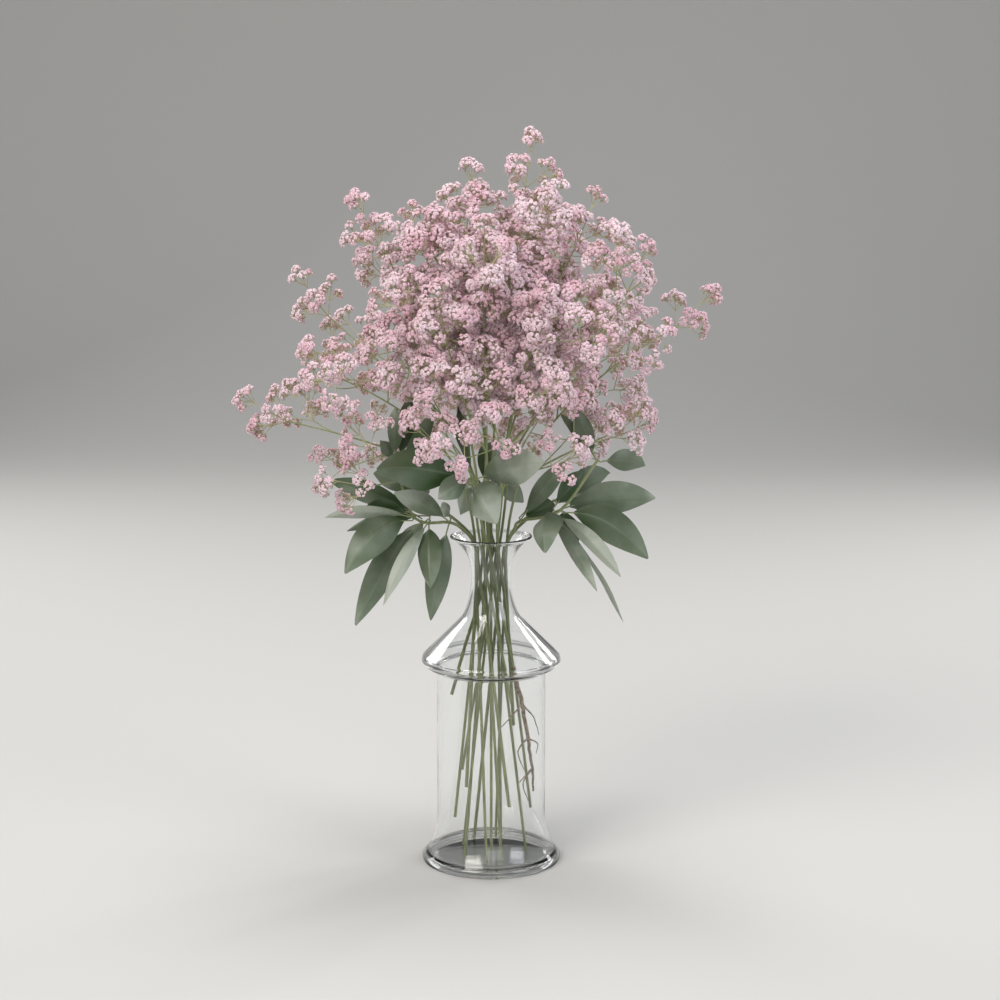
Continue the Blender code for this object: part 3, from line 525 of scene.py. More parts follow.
def ringDirection(route, place, level):
    here = leafy["firstPlace"] + place
    return unit(route[here] - route[here - 1]) if level else placeDirection(route, place)


def leafSeats(route, leaves):
    # The stem's sides that can bear a leaf: (place, ring, the way the side faces, where the leaf begins)
    seats = []
    for place in range(len(route) - leafy["firstPlace"]):
        own = sum(leaf[0] == place for leaf in leaves)
        for level in range(math.ceil(own / leafy["perLevel"])):
            direction = ringDirection(route, place, level)
            centre = levelCentre(route, place, level)
            side = squareTo(direction, upWay)
            for normal in (side, np.cross(direction, side), -side, -np.cross(direction, side)):
                seats.append((place, level, normal, centre + normal * leafy["stalkReach"]))
        if isLast(route, place):
            ahead = placeDirection(route, place)
            seats.append((place, 0, ahead, route[-1] + ahead * leafy["stalkReach"]))
    return seats


def settleLeaves(space, routes):
    # Every leafy stem's leaves: [(place, ring, curve, width, turn)]
    # Each leaf takes the free side that faces its way best. Leaves that point on along the stem take the last
    # rings, and those that point back take the first
    chance = random.Random(growth["seed"])
    settled = {}
    for index, (name, stem) in enumerate(leafyStems.items()):
        settled[name] = []
        seats = leafSeats(routes[name], stem[4])
        for number, leaf in enumerate(stem[4]):
            ahead = placeDirection(routes[name], leaf[0])

            def suits(seat):
                aim = unit(np.array(leaf[1]) * mm - seat[3])
                return aim @ seat[2] - 0.25 * seat[1] * (aim @ ahead)

            own = [seat for seat in seats if seat[0] == leaf[0]]
            for seat in sorted(own, key=suits, reverse=True)[:leafy["seatsTried"]]:
                found = placeLeaf(space, chance, (owners["leafy"] + index, 1 + number), seat[3], leaf)
                if found:
                    seats = [other for other in seats if other is not seat]
                    settled[name].append((*seat[:2], found[0], leaf[2] * mm, found[1]))
                    break
    return settled


def reserveLip(space):
    # Keeps the bottle's lip free of leaves and flowers
    wall, (radius, height), bars = bottle["wall"] * mm, bottle["lip"], bottle["lipBars"]
    middle = radius * mm - wall / 2
    ring = [polar(middle, math.tau * k / bars, height * mm) for k in range(bars + 1)]
    space.addPath(ring, wall, (owners["lip"], 0))


def planStems():
    # The same plan as the solids: stems, stalks, leaves and heads take their places in this order
    space = Space()
    reserveLip(space)
    routes = {name: trunkRoute(*stem[:5]) for name, stem in flowerStems.items()}
    curves = {}
    for node, (name, route) in enumerate(routes.items()):
        space.addPath(route[1:], growth["stem"], (node, 0))
        for number, curve in enumerate(headCurves(route, flowerStems[name][5])):
            curves[name, number] = curve
            space.addPath(curved(curve, 0, 1, growth["stalkBars"] + 1), growth["stalk"], (node, 1 + number))
    leafyRoutes = {name: leafyRoute(*stem[:4]) for name, stem in leafyStems.items()}
    for index, route in enumerate(leafyRoutes.values()):
        space.addPath(route[1:], growth["stem"], (owners["leafy"] + index, 0))
    leaves = settleLeaves(space, leafyRoutes)
    hubs = growHubs(space, curves)
    return routes, curves, hubs, leafyRoutes, leaves


def hexColour(code):
    # sRGB hex to Blender's linear colour
    parts = [int(code[k:k + 2], 16) / 255 for k in (1, 3, 5)]
    return tuple(c / 12.92 if c <= 0.04045 else ((c + 0.055) / 1.055) ** 2.4 for c in parts) + (1,)


def addNode(tree, kind, settings=None, links=None):
    # One shader node: its settings, which are properties or socket values, and what feeds its sockets, where a
    # node stands for its first output
    node = tree.nodes.new("ShaderNode" + kind)
    for name, value in (settings or {}).items():
        if name == "stops":
            ramp = node.color_ramp.elements
            while len(ramp) < len(value):
                ramp.new(0.5)
            for element, (place, colour) in zip(ramp, value):
                element.position = place
                element.color = hexColour(colour)
        elif isinstance(name, int) or name in node.inputs:
            node.inputs[name].default_value = value
        else:
            setattr(node, name, value)
    linkAll(tree, node, links or {})
    return node


def linkAll(tree, node, links):
    for name, source in links.items():
        tree.links.new(source.outputs[0] if hasattr(source, "outputs") else source, node.inputs[name])


def startMaterial(name, settings):
    material = bpy.data.materials.new(name)
    material.use_nodes = True
    surface = material.node_tree.nodes["Principled BSDF"]
    for socket, value in settings.items():
        surface.inputs[socket].default_value = value
    return material, material.node_tree


def finished(material, links):
    # Feeds the material's surface
    linkAll(material.node_tree, material.node_tree.nodes["Principled BSDF"], links)
    return material


petal = {
    # from the calyx over the cream underside and the pale rim to the darker inside: deeper pink with painted
    # shade in each floret's dip
    "shades": [(0.0, "#BDBC94"), (0.2, "#DCCCBF"), (0.4, "#E8D3D7"), (0.55, "#F0DDE4"), (0.72, "#E2C2CE"),
               (0.86, "#CFA4B4"), (1.0, "#A87387")],
    "deeper": "#E7BAC7",  # drifts of deeper pink through the heads
    "driftSize": 34,
    "driftShare": 0.5,
}


def petalMaterial():
    # Fresh double petals: thin, crinkled and matte, and light sinks into them instead of glinting
    material, tree = startMaterial("gypsophilaPetal", {"Roughness": 0.7, "Specular IOR Level": 0.25})
    tint = addNode(tree, "Attribute", {"attribute_name": "tint"})
    shade = addNode(tree, "ValToRGB", {"stops": petal["shades"]}, {"Fac": tint.outputs["Fac"]})
    place = addNode(tree, "TexCoord").outputs["Object"]
    drift = addNode(tree, "TexNoise", {"Scale": 1000 / petal["driftSize"], "Detail": 2.0}, {"Vector": place})
    share = addNode(tree, "MapRange", {"From Min": 0.4, "From Max": 0.65, "To Max": petal["driftShare"]},
                    {"Value": drift})
    mixed = addNode(tree, "Mix", {"data_type": "RGBA", "blend_type": "MULTIPLY", 7: hexColour(petal["deeper"])},
                    {0: share, 6: shade})
    return finished(material, {"Base Color": mixed.outputs[2]})


greenStem = {
    "heights": (0.05, 0.62),  # the skin changes between these heights, in metres
    "shades": [(0.0, "#A6AD7C"), (0.3, "#8E9668"), (0.42, "#7C865F"), (0.62, "#98A173"), (1.0, "#A9B186")],
    "streak": "#65703F",
    "streakSize": 2.0,  # across; along the stem they run 12 times as far
}


def stemMaterial():
    # Cut flower stem: smooth waxy skin with fine lengthwise streaks, paler towards the heads, partly as the
    # younger skin there and partly as painted light on upper stalks that are seen from their shaded side
    material, tree = startMaterial("freshStem", {"Roughness": 0.45, "Specular IOR Level": 0.4})
    place = addNode(tree, "TexCoord").outputs["Object"]
    parts = addNode(tree, "SeparateXYZ", {}, {"Vector": place})
    low, high = greenStem["heights"]
    height = addNode(tree, "MapRange", {"From Min": low, "From Max": high}, {"Value": parts.outputs["Z"]})
    # by height: pale low in the bottle, darkest about its neck, and paler above with painted light on the
    # stalks
    shade = addNode(tree, "ValToRGB", {"stops": greenStem["shades"]}, {"Fac": height})
    stretch = addNode(tree, "Mapping", {"Scale": (1.0, 1.0, 1 / 12)}, {"Vector": place})
    streaks = addNode(tree, "TexNoise", {"Scale": 1000 / greenStem["streakSize"], "Detail": 3.0},
                      {"Vector": stretch})
    share = addNode(tree, "MapRange", {"From Min": 0.45, "From Max": 0.75, "To Max": 0.55}, {"Value": streaks})
    mixed = addNode(tree, "Mix", {"data_type": "RGBA", 7: hexColour(greenStem["streak"])}, {0: share, 6: shade})
    bump = addNode(tree, "Bump", {"Strength": 0.25, "Distance": 0.0002}, {"Height": streaks})
    return finished(material, {"Base Color": mixed.outputs[2], "Normal": bump})


pedicelGreen = {"shades": [(0.3, "#A0A273"), (0.7, "#C3BD98")], "size": 15}


def pedicelMaterial():
    # The hair-thin stalks under the florets: yellower and softer than the stems that carry them
    material, tree = startMaterial("youngStalk", {"Roughness": 0.55})
    place = addNode(tree, "TexCoord").outputs["Object"]
    drift = addNode(tree, "TexNoise", {"Scale": 1000 / pedicelGreen["size"], "Detail": 1.0}, {"Vector": place})
    shade = addNode(tree, "ValToRGB", {"stops": pedicelGreen["shades"]}, {"Fac": drift})
    return finished(material, {"Base Color": shade})


leafSkin = {
    # from fresh green to a grey bloom; the same scale also carries each leaf's painted light and shade, darker
    # for leaves in shade and paler for lit ones
    "upper": [(0.0, "#29441A"), (0.25, "#3C5130"), (0.5, "#536049"), (0.75, "#6F7C67"), (1.0, "#A4AC9E")],
    "under": [(0.0, "#4E5E44"), (0.5, "#6E7B67"), (1.0, "#A0A899")],
    "gloss": {"upper": 0.42, "under": 0.6},  # roughness
    "rib": "#8E9A7E",
    "veins": 9,  # pairs of side veins down the blade
    "slant": 1.1,  # how far they run forward
    "blotch": 22,
}


def leafMaterial(side):
    # Broad evergreen leaf: leathery, with a thin wax bloom that greys the green and spreads the light
    material, tree = startMaterial("waxyLeaf" + side.capitalize(), {"Roughness": leafSkin["gloss"][side],
                                                                    "Specular IOR Level": 0.5})
    place = addNode(tree, "TexCoord")
    parts = addNode(tree, "SeparateXYZ", {}, {"Vector": place.outputs["UV"]})
    # each leaf's bloom together with its painted light and shade: darker for leaves in shade, paler for lit
    # ones and towards the tip
    bloom = addNode(tree, "Attribute", {"attribute_name": "bloom"})
    blotch = addNode(tree, "TexNoise", {"Scale": 1000 / leafSkin["blotch"], "Detail": 3.0},
                     {"Vector": place.outputs["Object"]})
    uneven = addNode(tree, "MapRange", {"From Min": 0.3, "From Max": 0.7, "To Min": -0.13, "To Max": 0.13},
                     {"Value": blotch})
    total = addNode(tree, "Math", {"operation": "ADD"}, {0: bloom.outputs["Fac"], 1: uneven})
    shade = addNode(tree, "ValToRGB", {"stops": leafSkin[side]}, {"Fac": total})

    # distance from the midrib, 0 there and 1 at the edge
    centred = addNode(tree, "Math", {"operation": "MULTIPLY_ADD", 1: 2.0, 2: -1.0}, {0: parts.outputs["X"]})
    away = addNode(tree, "Math", {"operation": "ABSOLUTE"}, {0: centred})
    rib = addNode(tree, "MapRange", {"From Min": 0.06, "From Max": 0.02, "To Max": 0.17}, {"Value": away})
    forward = addNode(tree, "Math", {"operation": "MULTIPLY_ADD", 1: -leafSkin["slant"]},
                      {0: away, 2: parts.outputs["Y"]})
    rows = addNode(tree, "Math", {"operation": "MULTIPLY", 1: leafSkin["veins"] * math.tau}, {0: forward})
    wave = addNode(tree, "Math", {"operation": "SINE"}, {0: rows})
    vein = addNode(tree, "MapRange", {"From Min": 0.86, "From Max": 1.0, "To Max": 0.09}, {"Value": wave})
    lines = addNode(tree, "Math", {"operation": "MAXIMUM"}, {0: rib, 1: vein})
    mixed = addNode(tree, "Mix", {"data_type": "RGBA", 7: hexColour(leafSkin["rib"])}, {0: lines, 6: shade})
    bump = addNode(tree, "Bump", {"Strength": 0.25, "Distance": 0.0003, "invert": side == "upper"},
                   {"Height": lines})
    return finished(material, {"Base Color": mixed.outputs[2], "Normal": bump})


rootBark = {"shades": [(0.3, "#6E5D4C"), (0.5, "#9C8B75"), (0.75, "#C9BBA4")], "size": 3.0}


def rootMaterial():
    # Dried root: dull, fibrous bark in mixed browns
    material, tree = startMaterial("dryRoot", {"Roughness": 0.85, "Specular IOR Level": 0.2})
    place = addNode(tree, "TexCoord").outputs["Object"]
    fibres = addNode(tree, "TexNoise", {"Scale": 1000 / rootBark["size"], "Detail": 5.0}, {"Vector": place})
    shade = addNode(tree, "ValToRGB", {"stops": rootBark["shades"]}, {"Fac": fibres})
    bump = addNode(tree, "Bump", {"Strength": 0.6, "Distance": 0.0004}, {"Height": fibres})
    return finished(material, {"Base Color": shade, "Normal": bump})


bottle = {
    "wall": 2.6,
    "floorTop": 7.0,
    # the outside's corners, each (radius, height)
    "foot": (63.5, 5.0),
    "waist": (49.5, 46.0),
    "collar": (63.5, 181.0),
    "shoulder": (26.0, 229.0),
    "neck": (18.0, 268.0),
    "lip": (37.0, 303.0),
    "collarEdge": 4.5,
    "lipRoundness": 1.1,
    "hollow": 4.8,  # how far the foot is pushed up below, so that it stands on its rim
    "sides": 128,
    "bendSteps": 12,
    "lipSteps": 3,
    "cornerSteps": 4,
    "lipBars": 12,  # bars that keep the lip's room free
    "colour": "#FDFEFE",
    "waveSize": 28,
}


def glassMaterial():
    # Clear soda-lime glass, blown in a mould: IOR 1.5 and no haze, with the slow waves that blowing leaves
    material, tree = startMaterial("blownGlass", {"Base Color": hexColour(bottle["colour"]), "Roughness": 0.0,
                                                  "IOR": 1.5, "Transmission Weight": 1.0})
    place = addNode(tree, "TexCoord").outputs["Object"]
    waves = addNode(tree, "TexNoise", {"Scale": 1000 / bottle["waveSize"], "Detail": 0.0}, {"Vector": place})
    bump = addNode(tree, "Bump", {"Strength": 0.12, "Distance": 0.001}, {"Height": waves})
    return finished(material, {"Normal": bump})


def addObject(name, data):
    thing = bpy.data.objects.new(name, data)
    bpy.context.scene.collection.objects.link(thing)
    return thing


def addPiece(name, mesh, materials, node):
    for material in materials:
        mesh.materials.append(material)
    piece = addObject(name, mesh)
    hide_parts(node)
    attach(piece, "root")


def meshFrom(shape, name):
    mesh = bpy.data.meshes.new(name)
    shape.to_mesh(mesh)
    shape.free()
    return mesh


def smoothMesh(shape, name, slot=0):
    # A mesh with smooth faces and outward normals, all in one material slot
    bmesh.ops.recalc_face_normals(shape, faces=shape.faces[:])
    for face in shape.faces:
        face.material_index = slot
        face.smooth = True
    return meshFrom(shape, name)


def pour(shape, mesh):
    # Adds a mesh to a shape and removes it
    shape.from_mesh(mesh)
    bpy.data.meshes.remove(mesh)


def onlyOf(kind, made):
    return [item for item in made if isinstance(item, kind)]


def bend(start, control, end, steps):
    return [bezier((start, control, end), (k + 1) / steps) for k in range(steps)]


def softened(corners):
    # An outline's corners, each (radius, height, how far back its rounding begins), as points
    points = []
    for k, (radius, height, reach) in enumerate(corners):
        here = np.array([radius, height])
        if not reach or k in (0, len(corners) - 1):
            points.append(here)
            continue
        before, after = np.array(corners[k - 1][:2]), np.array(corners[k + 1][:2])
        start, end = here + reach * unit(before - here), here + reach * unit(after - here)
        points += [start, *bend(start, here, end, bottle["cornerSteps"])]
    return points


def bottleOutline():
    # Up the inside from the middle of the floor, over the lip, and down the outside to the foot
    corners = ("foot", "waist", "collar", "shoulder", "neck", "lip")
    foot, waist, collar, shoulder, neck, lip = inMetres(bottle[name] for name in corners)
    wall, floor, collarEdge, hollow, r = [
        bottle[name] * mm for name in ("wall", "floorTop", "collarEdge", "hollow", "lipRoundness")
    ]
    steps, lipSteps = bottle["bendSteps"], bottle["lipSteps"]
    inset, slant = np.array([wall, 0]), np.array([wall, wall]) * math.sqrt(0.5)
    coneFoot = np.array([collar[0] - mm, shoulder[0] + shoulder[1] - collar[0] + mm])
    edge = np.array([collar[0], collar[1] + collarEdge + 3 * mm])
    toShoulder = neck - [0, 0.6 * (neck[1] - shoulder[1])]
    toLip = neck + [0, 0.62 * (lip[1] - neck[1])]
    innerFoot = np.array([foot[0] - 6 * mm, floor + 3 * mm])

    points = softened([(0, floor, 0), (foot[0] - 7 * mm, floor, 2.5 * mm), (*innerFoot, 0)])
    points += bend(innerFoot, waist - inset - [0, 0.5 * waist[1]], waist - inset, steps)
    points += softened([
        (*(waist - inset), 0),
        (waist[0] - wall, collar[1] + wall, 2 * mm),
        (*(edge - [1.4 * wall, wall]), 1.5 * mm),
        (*(coneFoot - slant * 1.3), 2 * mm),
        (*(shoulder - slant), 0),
    ])[1:]
    points += bend(shoulder - slant, toShoulder - inset, neck - inset, steps)
    points += bend(neck - inset, toLip - inset, lip - inset - [0, mm], steps)
    points += bend(points[-1], lip + [-wall, r], lip + [-r, 0.2 * mm], lipSteps)
    points += bend(points[-1], lip + [0.6 * r, 0], lip - [0, r], lipSteps)
    points += bend(lip - [0, r], toLip, neck, steps)[:-1]
    points += [neck, *bend(neck, toShoulder, shoulder, steps)]
    points += softened([
        (*shoulder, 0),
        (*coneFoot, mm),
        (*edge, mm),
        (collar[0] - collarEdge, collar[1] + 2 * mm, 2 * mm),
        (waist[0], collar[1] - mm, 2 * mm),
        (*waist, 0),
    ])[1:]
    points += bend(waist, waist - [0, 0.6 * waist[1]], foot, steps)
    points += softened([
        (*foot, 0),
        (foot[0] - 0.6 * mm, 0, 1.5 * mm),
        (foot[0] - 3.2 * mm, 0, 0.5 * mm),
        (foot[0] - 6.5 * mm, hollow - 0.6 * mm, 1.5 * mm),
        (0, hollow, 0),
    ])[1:]
    return points


def buildBottle():
    shape = bmesh.new()
    corners = [shape.verts.new((radius, 0, height)) for radius, height in bottleOutline()]
    for pair in zip(corners, corners[1:]):
        shape.edges.new(pair)
    bmesh.ops.spin(shape, geom=shape.verts[:] + shape.edges[:], cent=(0, 0, 0), axis=(0, 0, 1),
                   angle=math.tau, steps=bottle["sides"], use_merge=True, use_normal_flip=False)
    bmesh.ops.remove_doubles(shape, verts=shape.verts[:], dist=0.02 * mm)
    addPiece("glassBottle", smoothMesh(shape, "glassBottle"), [glassMaterial()], "glass_vase")


def tubes(paths, sides=8, slot=0):
    # Round stems along paths, each a list of points with their radii, as one mesh
    curve = bpy.data.curves.new("stems", "CURVE")
    curve.dimensions = "3D"
    curve.bevel_depth = mm
    curve.bevel_resolution = max(0, sides // 4 - 1)
    curve.use_fill_caps = True
    for points, radii in paths:
        spline = curve.splines.new("POLY")
        spline.points.add(len(points) - 1)
        for at, point, radius in zip(spline.points, points, radii):
            at.co = (*point, 1)
            at.radius = radius / mm
    holder = bpy.data.objects.new("stems", curve)
    mesh = bpy.data.meshes.new_from_object(holder)
    bpy.data.objects.remove(holder)
    bpy.data.curves.remove(curve)
    mesh.polygons.foreach_set("material_index", [slot] * len(mesh.polygons))
    return mesh


def curved(curve, start, end, steps):
    return [bezier(curve, t) for t in np.linspace(start, end, steps)]


def bowed(start, end, sag, steps):
    # A twig that leaves a little flatter than it ends
    control = mix(start, end, 0.5) - upWay * sag * np.linalg.norm(end - start)
    return curved((start, control, end), 0, 1, steps)


floret = {
    "sides": 8,
    # rings from the widest up: distance from the middle, height, ruffle, and tint
    "rings": [(2.5, -0.1, 0.26, 0.44), (1.45, 1.05, 0.28, 0.6)],
    "mottle": 0.09,  # how unevenly each ring is tinted
    "calyx": 2.0,  # how far it reaches below the petals
    # the heart's higher tint paints shade in the dip over its deeper pink
    "heart": (0.65, 0.84),  # height and tint
    "kinds": 5,
    "sizes": (0.86, 1.06),
    "slot": 2,
}


def setRing(verts, layer, chance, ring, size):
    radius, height, ruffle, shade = ring
    for vert in verts:
        angle = math.atan2(vert.co.y, vert.co.x)
        out = (radius + chance.uniform(-ruffle, ruffle)) * size * mm
        rise = (height + chance.uniform(-ruffle, ruffle)) * size * mm
        vert.co = (out * math.cos(angle), out * math.sin(angle), rise)
        vert[layer] = shade + chance.uniform(-1, 1) * floret["mottle"]


def makeFloret(chance, size):
    # A double flower: the calyx, the ball of outer petals, their rim, and the heart in the dip inside it
    shape = bmesh.new()
    layer = shape.verts.layers.float.new("tint")
    verts = bmesh.ops.create_circle(shape, segments=floret["sides"], radius=1.0)["verts"]
    edges = shape.edges[:]
    rings = [verts]
    for number in range(len(floret["rings"]) + 1):
        made = bmesh.ops.extrude_edge_only(shape, edges=edges)["geom"]
        rings.append(onlyOf(bmesh.types.BMVert, made))
        if number:
            edges = onlyOf(bmesh.types.BMEdge, made)
    for verts, ring in zip([rings[0], *rings[2:]], floret["rings"]):
        setRing(verts, layer, chance, ring, size)
    # the heart, sunk in the dip, takes the darker tint: deeper pink with painted shade
    heart, tint = floret["heart"]
    for vert in rings[-1]:
        vert[layer] = tint
    bmesh.ops.pointmerge(shape, verts=rings[1], merge_co=(0, 0, -floret["calyx"] * size * mm))
    bmesh.ops.pointmerge(shape, verts=rings[-1], merge_co=(0, 0, heart * size * mm))
    return smoothMesh(shape, "floret", floret["slot"])


def makeBud():
    # A small egg, darker below
    shape = bmesh.new()
    tint = shape.verts.layers.float.new("tint")
    bmesh.ops.create_icosphere(shape, subdivisions=1, radius=mm)
    bmesh.ops.scale(shape, vec=(0.85, 0.85, 1.25), verts=shape.verts[:])
    for vert in shape.verts:
        vert[tint] = 0.28 + 0.2 * (vert.co.z / mm)
    for face in shape.faces:
        face.material_index = floret["slot"]
    return meshFrom(shape, "bud")


def placing(place, direction, spin, scale):
    # Moves to a place, with +Z along a direction after a spin about +Z
    turn = Vector(direction).to_track_quat("Z", "Y").to_matrix().to_4x4() @ Matrix.Rotation(spin, 4, "Z")
    return Matrix.Translation(place) @ turn @ Matrix.Scale(scale, 4)


def copyInto(shape, mesh, matrix):
    copy = mesh.copy()
    copy.transform(matrix)
    pour(shape, copy)


umbel = {
    "kinds": 12,
    "florets": (8, 12),
    "buds": 0.06,  # share of florets that are still shut
    "budStalk": 0.8,  # how far below a bud its stalk ends
    "dome": 5.5,
    "spread": 88,  # degrees that the dome reaches down from its top
    "jitter": 0.2,  # how unevenly the florets face
    "foot": -4.6,  # where the stalks meet
    "scales": (0.78, 0.98),  # in the loose outer heads, and in the middle of the crown
    "stalk": (0.24, 0.16),
}


def makeUmbel(chance, florets, bud):
    # A dome of florets on stalks that spring from one point
    shape = bmesh.new()
    shape.verts.layers.float.new("tint")
    count = chance.randint(*umbel["florets"])
    foot = np.array([0, 0, umbel["foot"] * mm])
    thick, thin = umbel["stalk"]
    turn = chance.uniform(0, math.tau)
    for k in range(count):
        down = math.radians(umbel["spread"]) * math.sqrt((k + 0.35) / count) * chance.uniform(0.92, 1.06)
        outward = polar(math.sin(down), turn + k * goldenAngle + chance.uniform(-0.25, 0.25), math.cos(down))
        uneven = [chance.uniform(-umbel["jitter"], umbel["jitter"]) for _ in range(3)]
        facing = unit(outward + [0, 0, 0.25] + np.array(uneven))
        place = outward * umbel["dome"] * mm * chance.uniform(0.88, 1.1)
        shut = chance.random() < umbel["buds"]
        scale = chance.uniform(0.9, 1.08)
        matrix = placing(place, facing, chance.uniform(0, math.tau), scale)
        copyInto(shape, bud if shut else chance.choice(florets), matrix)
        end = place - facing * (umbel["budStalk"] if shut else floret["calyx"] * 0.9) * mm * scale
        made = bmesh.ops.create_cone(shape, segments=3, radius1=thick * mm, radius2=thin * mm, cap_ends=True,
                                     depth=np.linalg.norm(end - foot),
                                     matrix=placing((foot + end) / 2, unit(end - foot), 0, 1))["verts"]
        for face in {face for vert in made for face in vert.link_faces}:
            face.material_index = 1
    return meshFrom(shape, "umbel")


# A cluster of umbels. Pairs are for the loose outer heads and for the middle of the crown
head = {
    "umbels": ((4, 6), (5, 7)),
    "radius": (8.8, 10.2),  # from the cluster's axis to its outer umbels
    "scatter": (4.8, 2.0),  # up and down
    "rise": 4.5,  # how far the middle stands above the edge
    "middle": 3,  # how far the first umbel may stand from the axis
    "apart": 8.2,  # between umbels
    "least": 0.6,  # share of that distance below which an umbel is left out
    "full": 0.3,  # crowding from which a cluster counts as one of the middle
    "tries": 14,
    "most": 9000,  # umbels that there is memory for
    "base": 13.0,  # where the first ray leaves the twig, below the cluster's centre
    "ray": (0.4, 0.26),
    "rayReach": 11.0,  # how far a ray runs along the twig
}

# Where the crown is so full that no stem shows: the middle and half widths of that part
thicket = {
    "middle": (4, 0, 515),
    "halves": (118, 118, 112),
    "apart": 6.8,
    "skirt": 8,  # extra umbels below each cluster
    "skirtPlace": (8, 20),  # how far below its centre they spring
    # degrees by which twigs lean away from what they spring from
    "skirtSpread": (35, 95),
    "branchSpread": (40, 100),
    "stalkSpread": (35, 100),
    "twig": (9, 28),
    "loose": 0.58,  # how much of that length a twig has in the loose outer part
    "rare": 0.1,  # how often such a twig grows there
    "step": 4.5,  # between the places on a stem where extra twigs may spring
    "tries": 5,
    "lowest": 402,  # seen from the front; the leaves below it stay free
    "outward": 1.1,  # how far the umbels turn to face out of the crown
}


def crowding(point):
    # 1 in the middle of the crown, 0 in its loose outer part
    away = (point / mm - thicket["middle"]) / thicket["halves"]
    return min(1.0, max(0.0, 2.2 - 2.0 * float(np.linalg.norm(away))))


def faceOut(spot, direction):
    # An umbel looks up and out, and the thicker the crown is there, the more it turns to the light outside
    outward = unit(spot - np.array(thicket["middle"]) * mm + 0.03 * upWay)
    return unit(direction + 0.15 * upWay + thicket["outward"] * crowding(spot) * outward)


class Umbels:
    # Where umbels stand so far, so that the next ones keep apart

    def __init__(self):
        far = 9.0
        self.spots = np.full((head["most"], 3), far)
        self.count = 0

    def gap(self, spot):
        # Distance to the nearest one
        return float(np.sqrt(((self.spots[:max(1, self.count)] - spot) ** 2).sum(1)).min())

    def take(self, spot):
        self.spots[self.count] = spot
        self.count += 1


def planCluster(chance, taken, hub, centre):
    # One cluster's umbels, each (where its ray starts, where it stands, the way it faces)
    axis = unit(centre - hub)
    base = centre - axis * head["base"] * mm
    side = squareTo(axis, askew)
    full = crowding(centre)
    scatter, radius = mix(*head["scatter"], full), mix(*head["radius"], full)
    found = []
    for k in range(chance.randint(*head["umbels"][full > head["full"]])):
        best = None
        for _ in range(head["tries"]):
            out = radius * math.sqrt(chance.random()) if k else chance.uniform(0, head["middle"])
            around = chance.uniform(0, math.tau)
            rise = head["rise"] * (1 - (out / radius) ** 2) + chance.uniform(-1, 0.5) * scatter
            spot = centre + axis * rise * mm + turned(side, axis, around) * out * mm
            gap = min(taken.gap(spot), head["apart"] * mm)
            if best is None or gap > best[0]:
                best = (gap, spot)
        gap, spot = best
        if gap < head["least"] * head["apart"] * mm:
            continue
        taken.take(spot)
        start = base + axis * max(0.0, (spot - base) @ axis - head["rayReach"] * mm)
        found.append((start, spot, faceOut(spot, unit(spot - start))))
    return found


def planExtra(chance, taken, root, axis, spread):
    # One more umbel on a twig of its own, where there is room
    reach = np.array(thicket["twig"]) * mix(thicket["loose"], 1, crowding(root))
    for _ in range(thicket["tries"]):
        angle = math.radians(chance.uniform(*thicket[spread]))
        outward = turned(squareTo(axis, askew), axis, chance.uniform(0, math.tau))
        aim = leaning(axis, outward, angle)
        spot = root + aim * chance.uniform(*reach) * mm
        isFree = taken.gap(spot) > thicket["apart"] * mm
        if isFree and inCrown(spot) and seenHeight(spot) > thicket["lowest"] * mm:
            taken.take(spot)
            return [(root, spot, faceOut(spot, unit(aim + 0.35 * upWay)))]
    return []


def planUmbels(curves, hubs):
    # Every spray's umbels: the clusters first, then the extra ones that close up the crown's middle
    chance = random.Random(growth["seed"])
    taken = Umbels()
    plan = {}
    for key, own in hubs.items():
        plan[key] = [(hub, centre, planCluster(chance, taken, hub, centre))
                     for _, hub, clusters in own for centre in clusters]
    extras = {key: [] for key in hubs}
    step = thicket["step"] * mm
    for key, own in hubs.items():
        curve = curves[key]
        for place, hub, clusters in own:
            for centre in clusters:
                axis = unit(centre - hub)
                for _ in range(thicket["skirt"]):
                    root = centre - axis * chance.uniform(*thicket["skirtPlace"]) * mm
                    if chance.random() < mix(thicket["rare"], 1, crowding(centre)):
                        extras[key] += planExtra(chance, taken, root, axis, "skirtSpread")
            root = bezier(curve, place)
            steps = int(np.linalg.norm(hub - root) / step)
            for k in range(1, steps + 1):
                spring = mix(root, hub, k / (steps + 1))
                if chance.random() < crowding(spring):
                    extras[key] += planExtra(chance, taken, spring, unit(hub - root), "branchSpread")
        steps = 2 * int(np.linalg.norm(curve[2] - curve[0]) / step)
        for k in range(3, steps):
            spring, along = bezier(curve, k / steps), bezierDirection(curve, k / steps)
            if chance.random() < crowding(spring):
                extras[key] += planExtra(chance, taken, spring, along, "stalkSpread")
    return plan, extras, taken.count


def addUmbel(shape, chance, umbels, start, spot, facing):
    # Sets an umbel in its place and returns the ray that carries it
    scale = mix(*umbel["scales"], crowding(spot)) * chance.uniform(0.92, 1.1)
    foot = spot + facing * umbel["foot"] * mm * scale
    matrix = placing(spot, facing, chance.uniform(0, math.tau), scale)
    copyInto(shape, chance.choice(umbels), matrix)
    bow = 0.12 * np.linalg.norm(foot - start) * unit(unit(foot - start) - facing * 1.2)
    steps = sprig["raySteps"]
    ray = curved((start, mix(start, foot, 0.5) + bow, foot), 0, 1, steps)
    return ray, np.linspace(*head["ray"], steps) * mm


sprig = {
    # radii, from where each part starts to where it ends
    "trunk": (1.35, 1.15),
    "stalk": (1.15, 0.6),
    "branch": (0.62, 0.46),
    "twig": (0.46, 0.36),
    # points along a trunk's bend, a stalk, a branch, a twig and a ray
    "bendSteps": 8,
    "stalkSteps": 14,
    "branchSteps": 6,
    "twigSteps": 5,
    "raySteps": 4,
    # how far branches and twigs sag, as a share of their length
    "branchSag": 0.05,
    "twigSag": 0.04,
}


def withRadii(part, path):
    return path, np.linspace(*sprig[part], len(path)) * mm


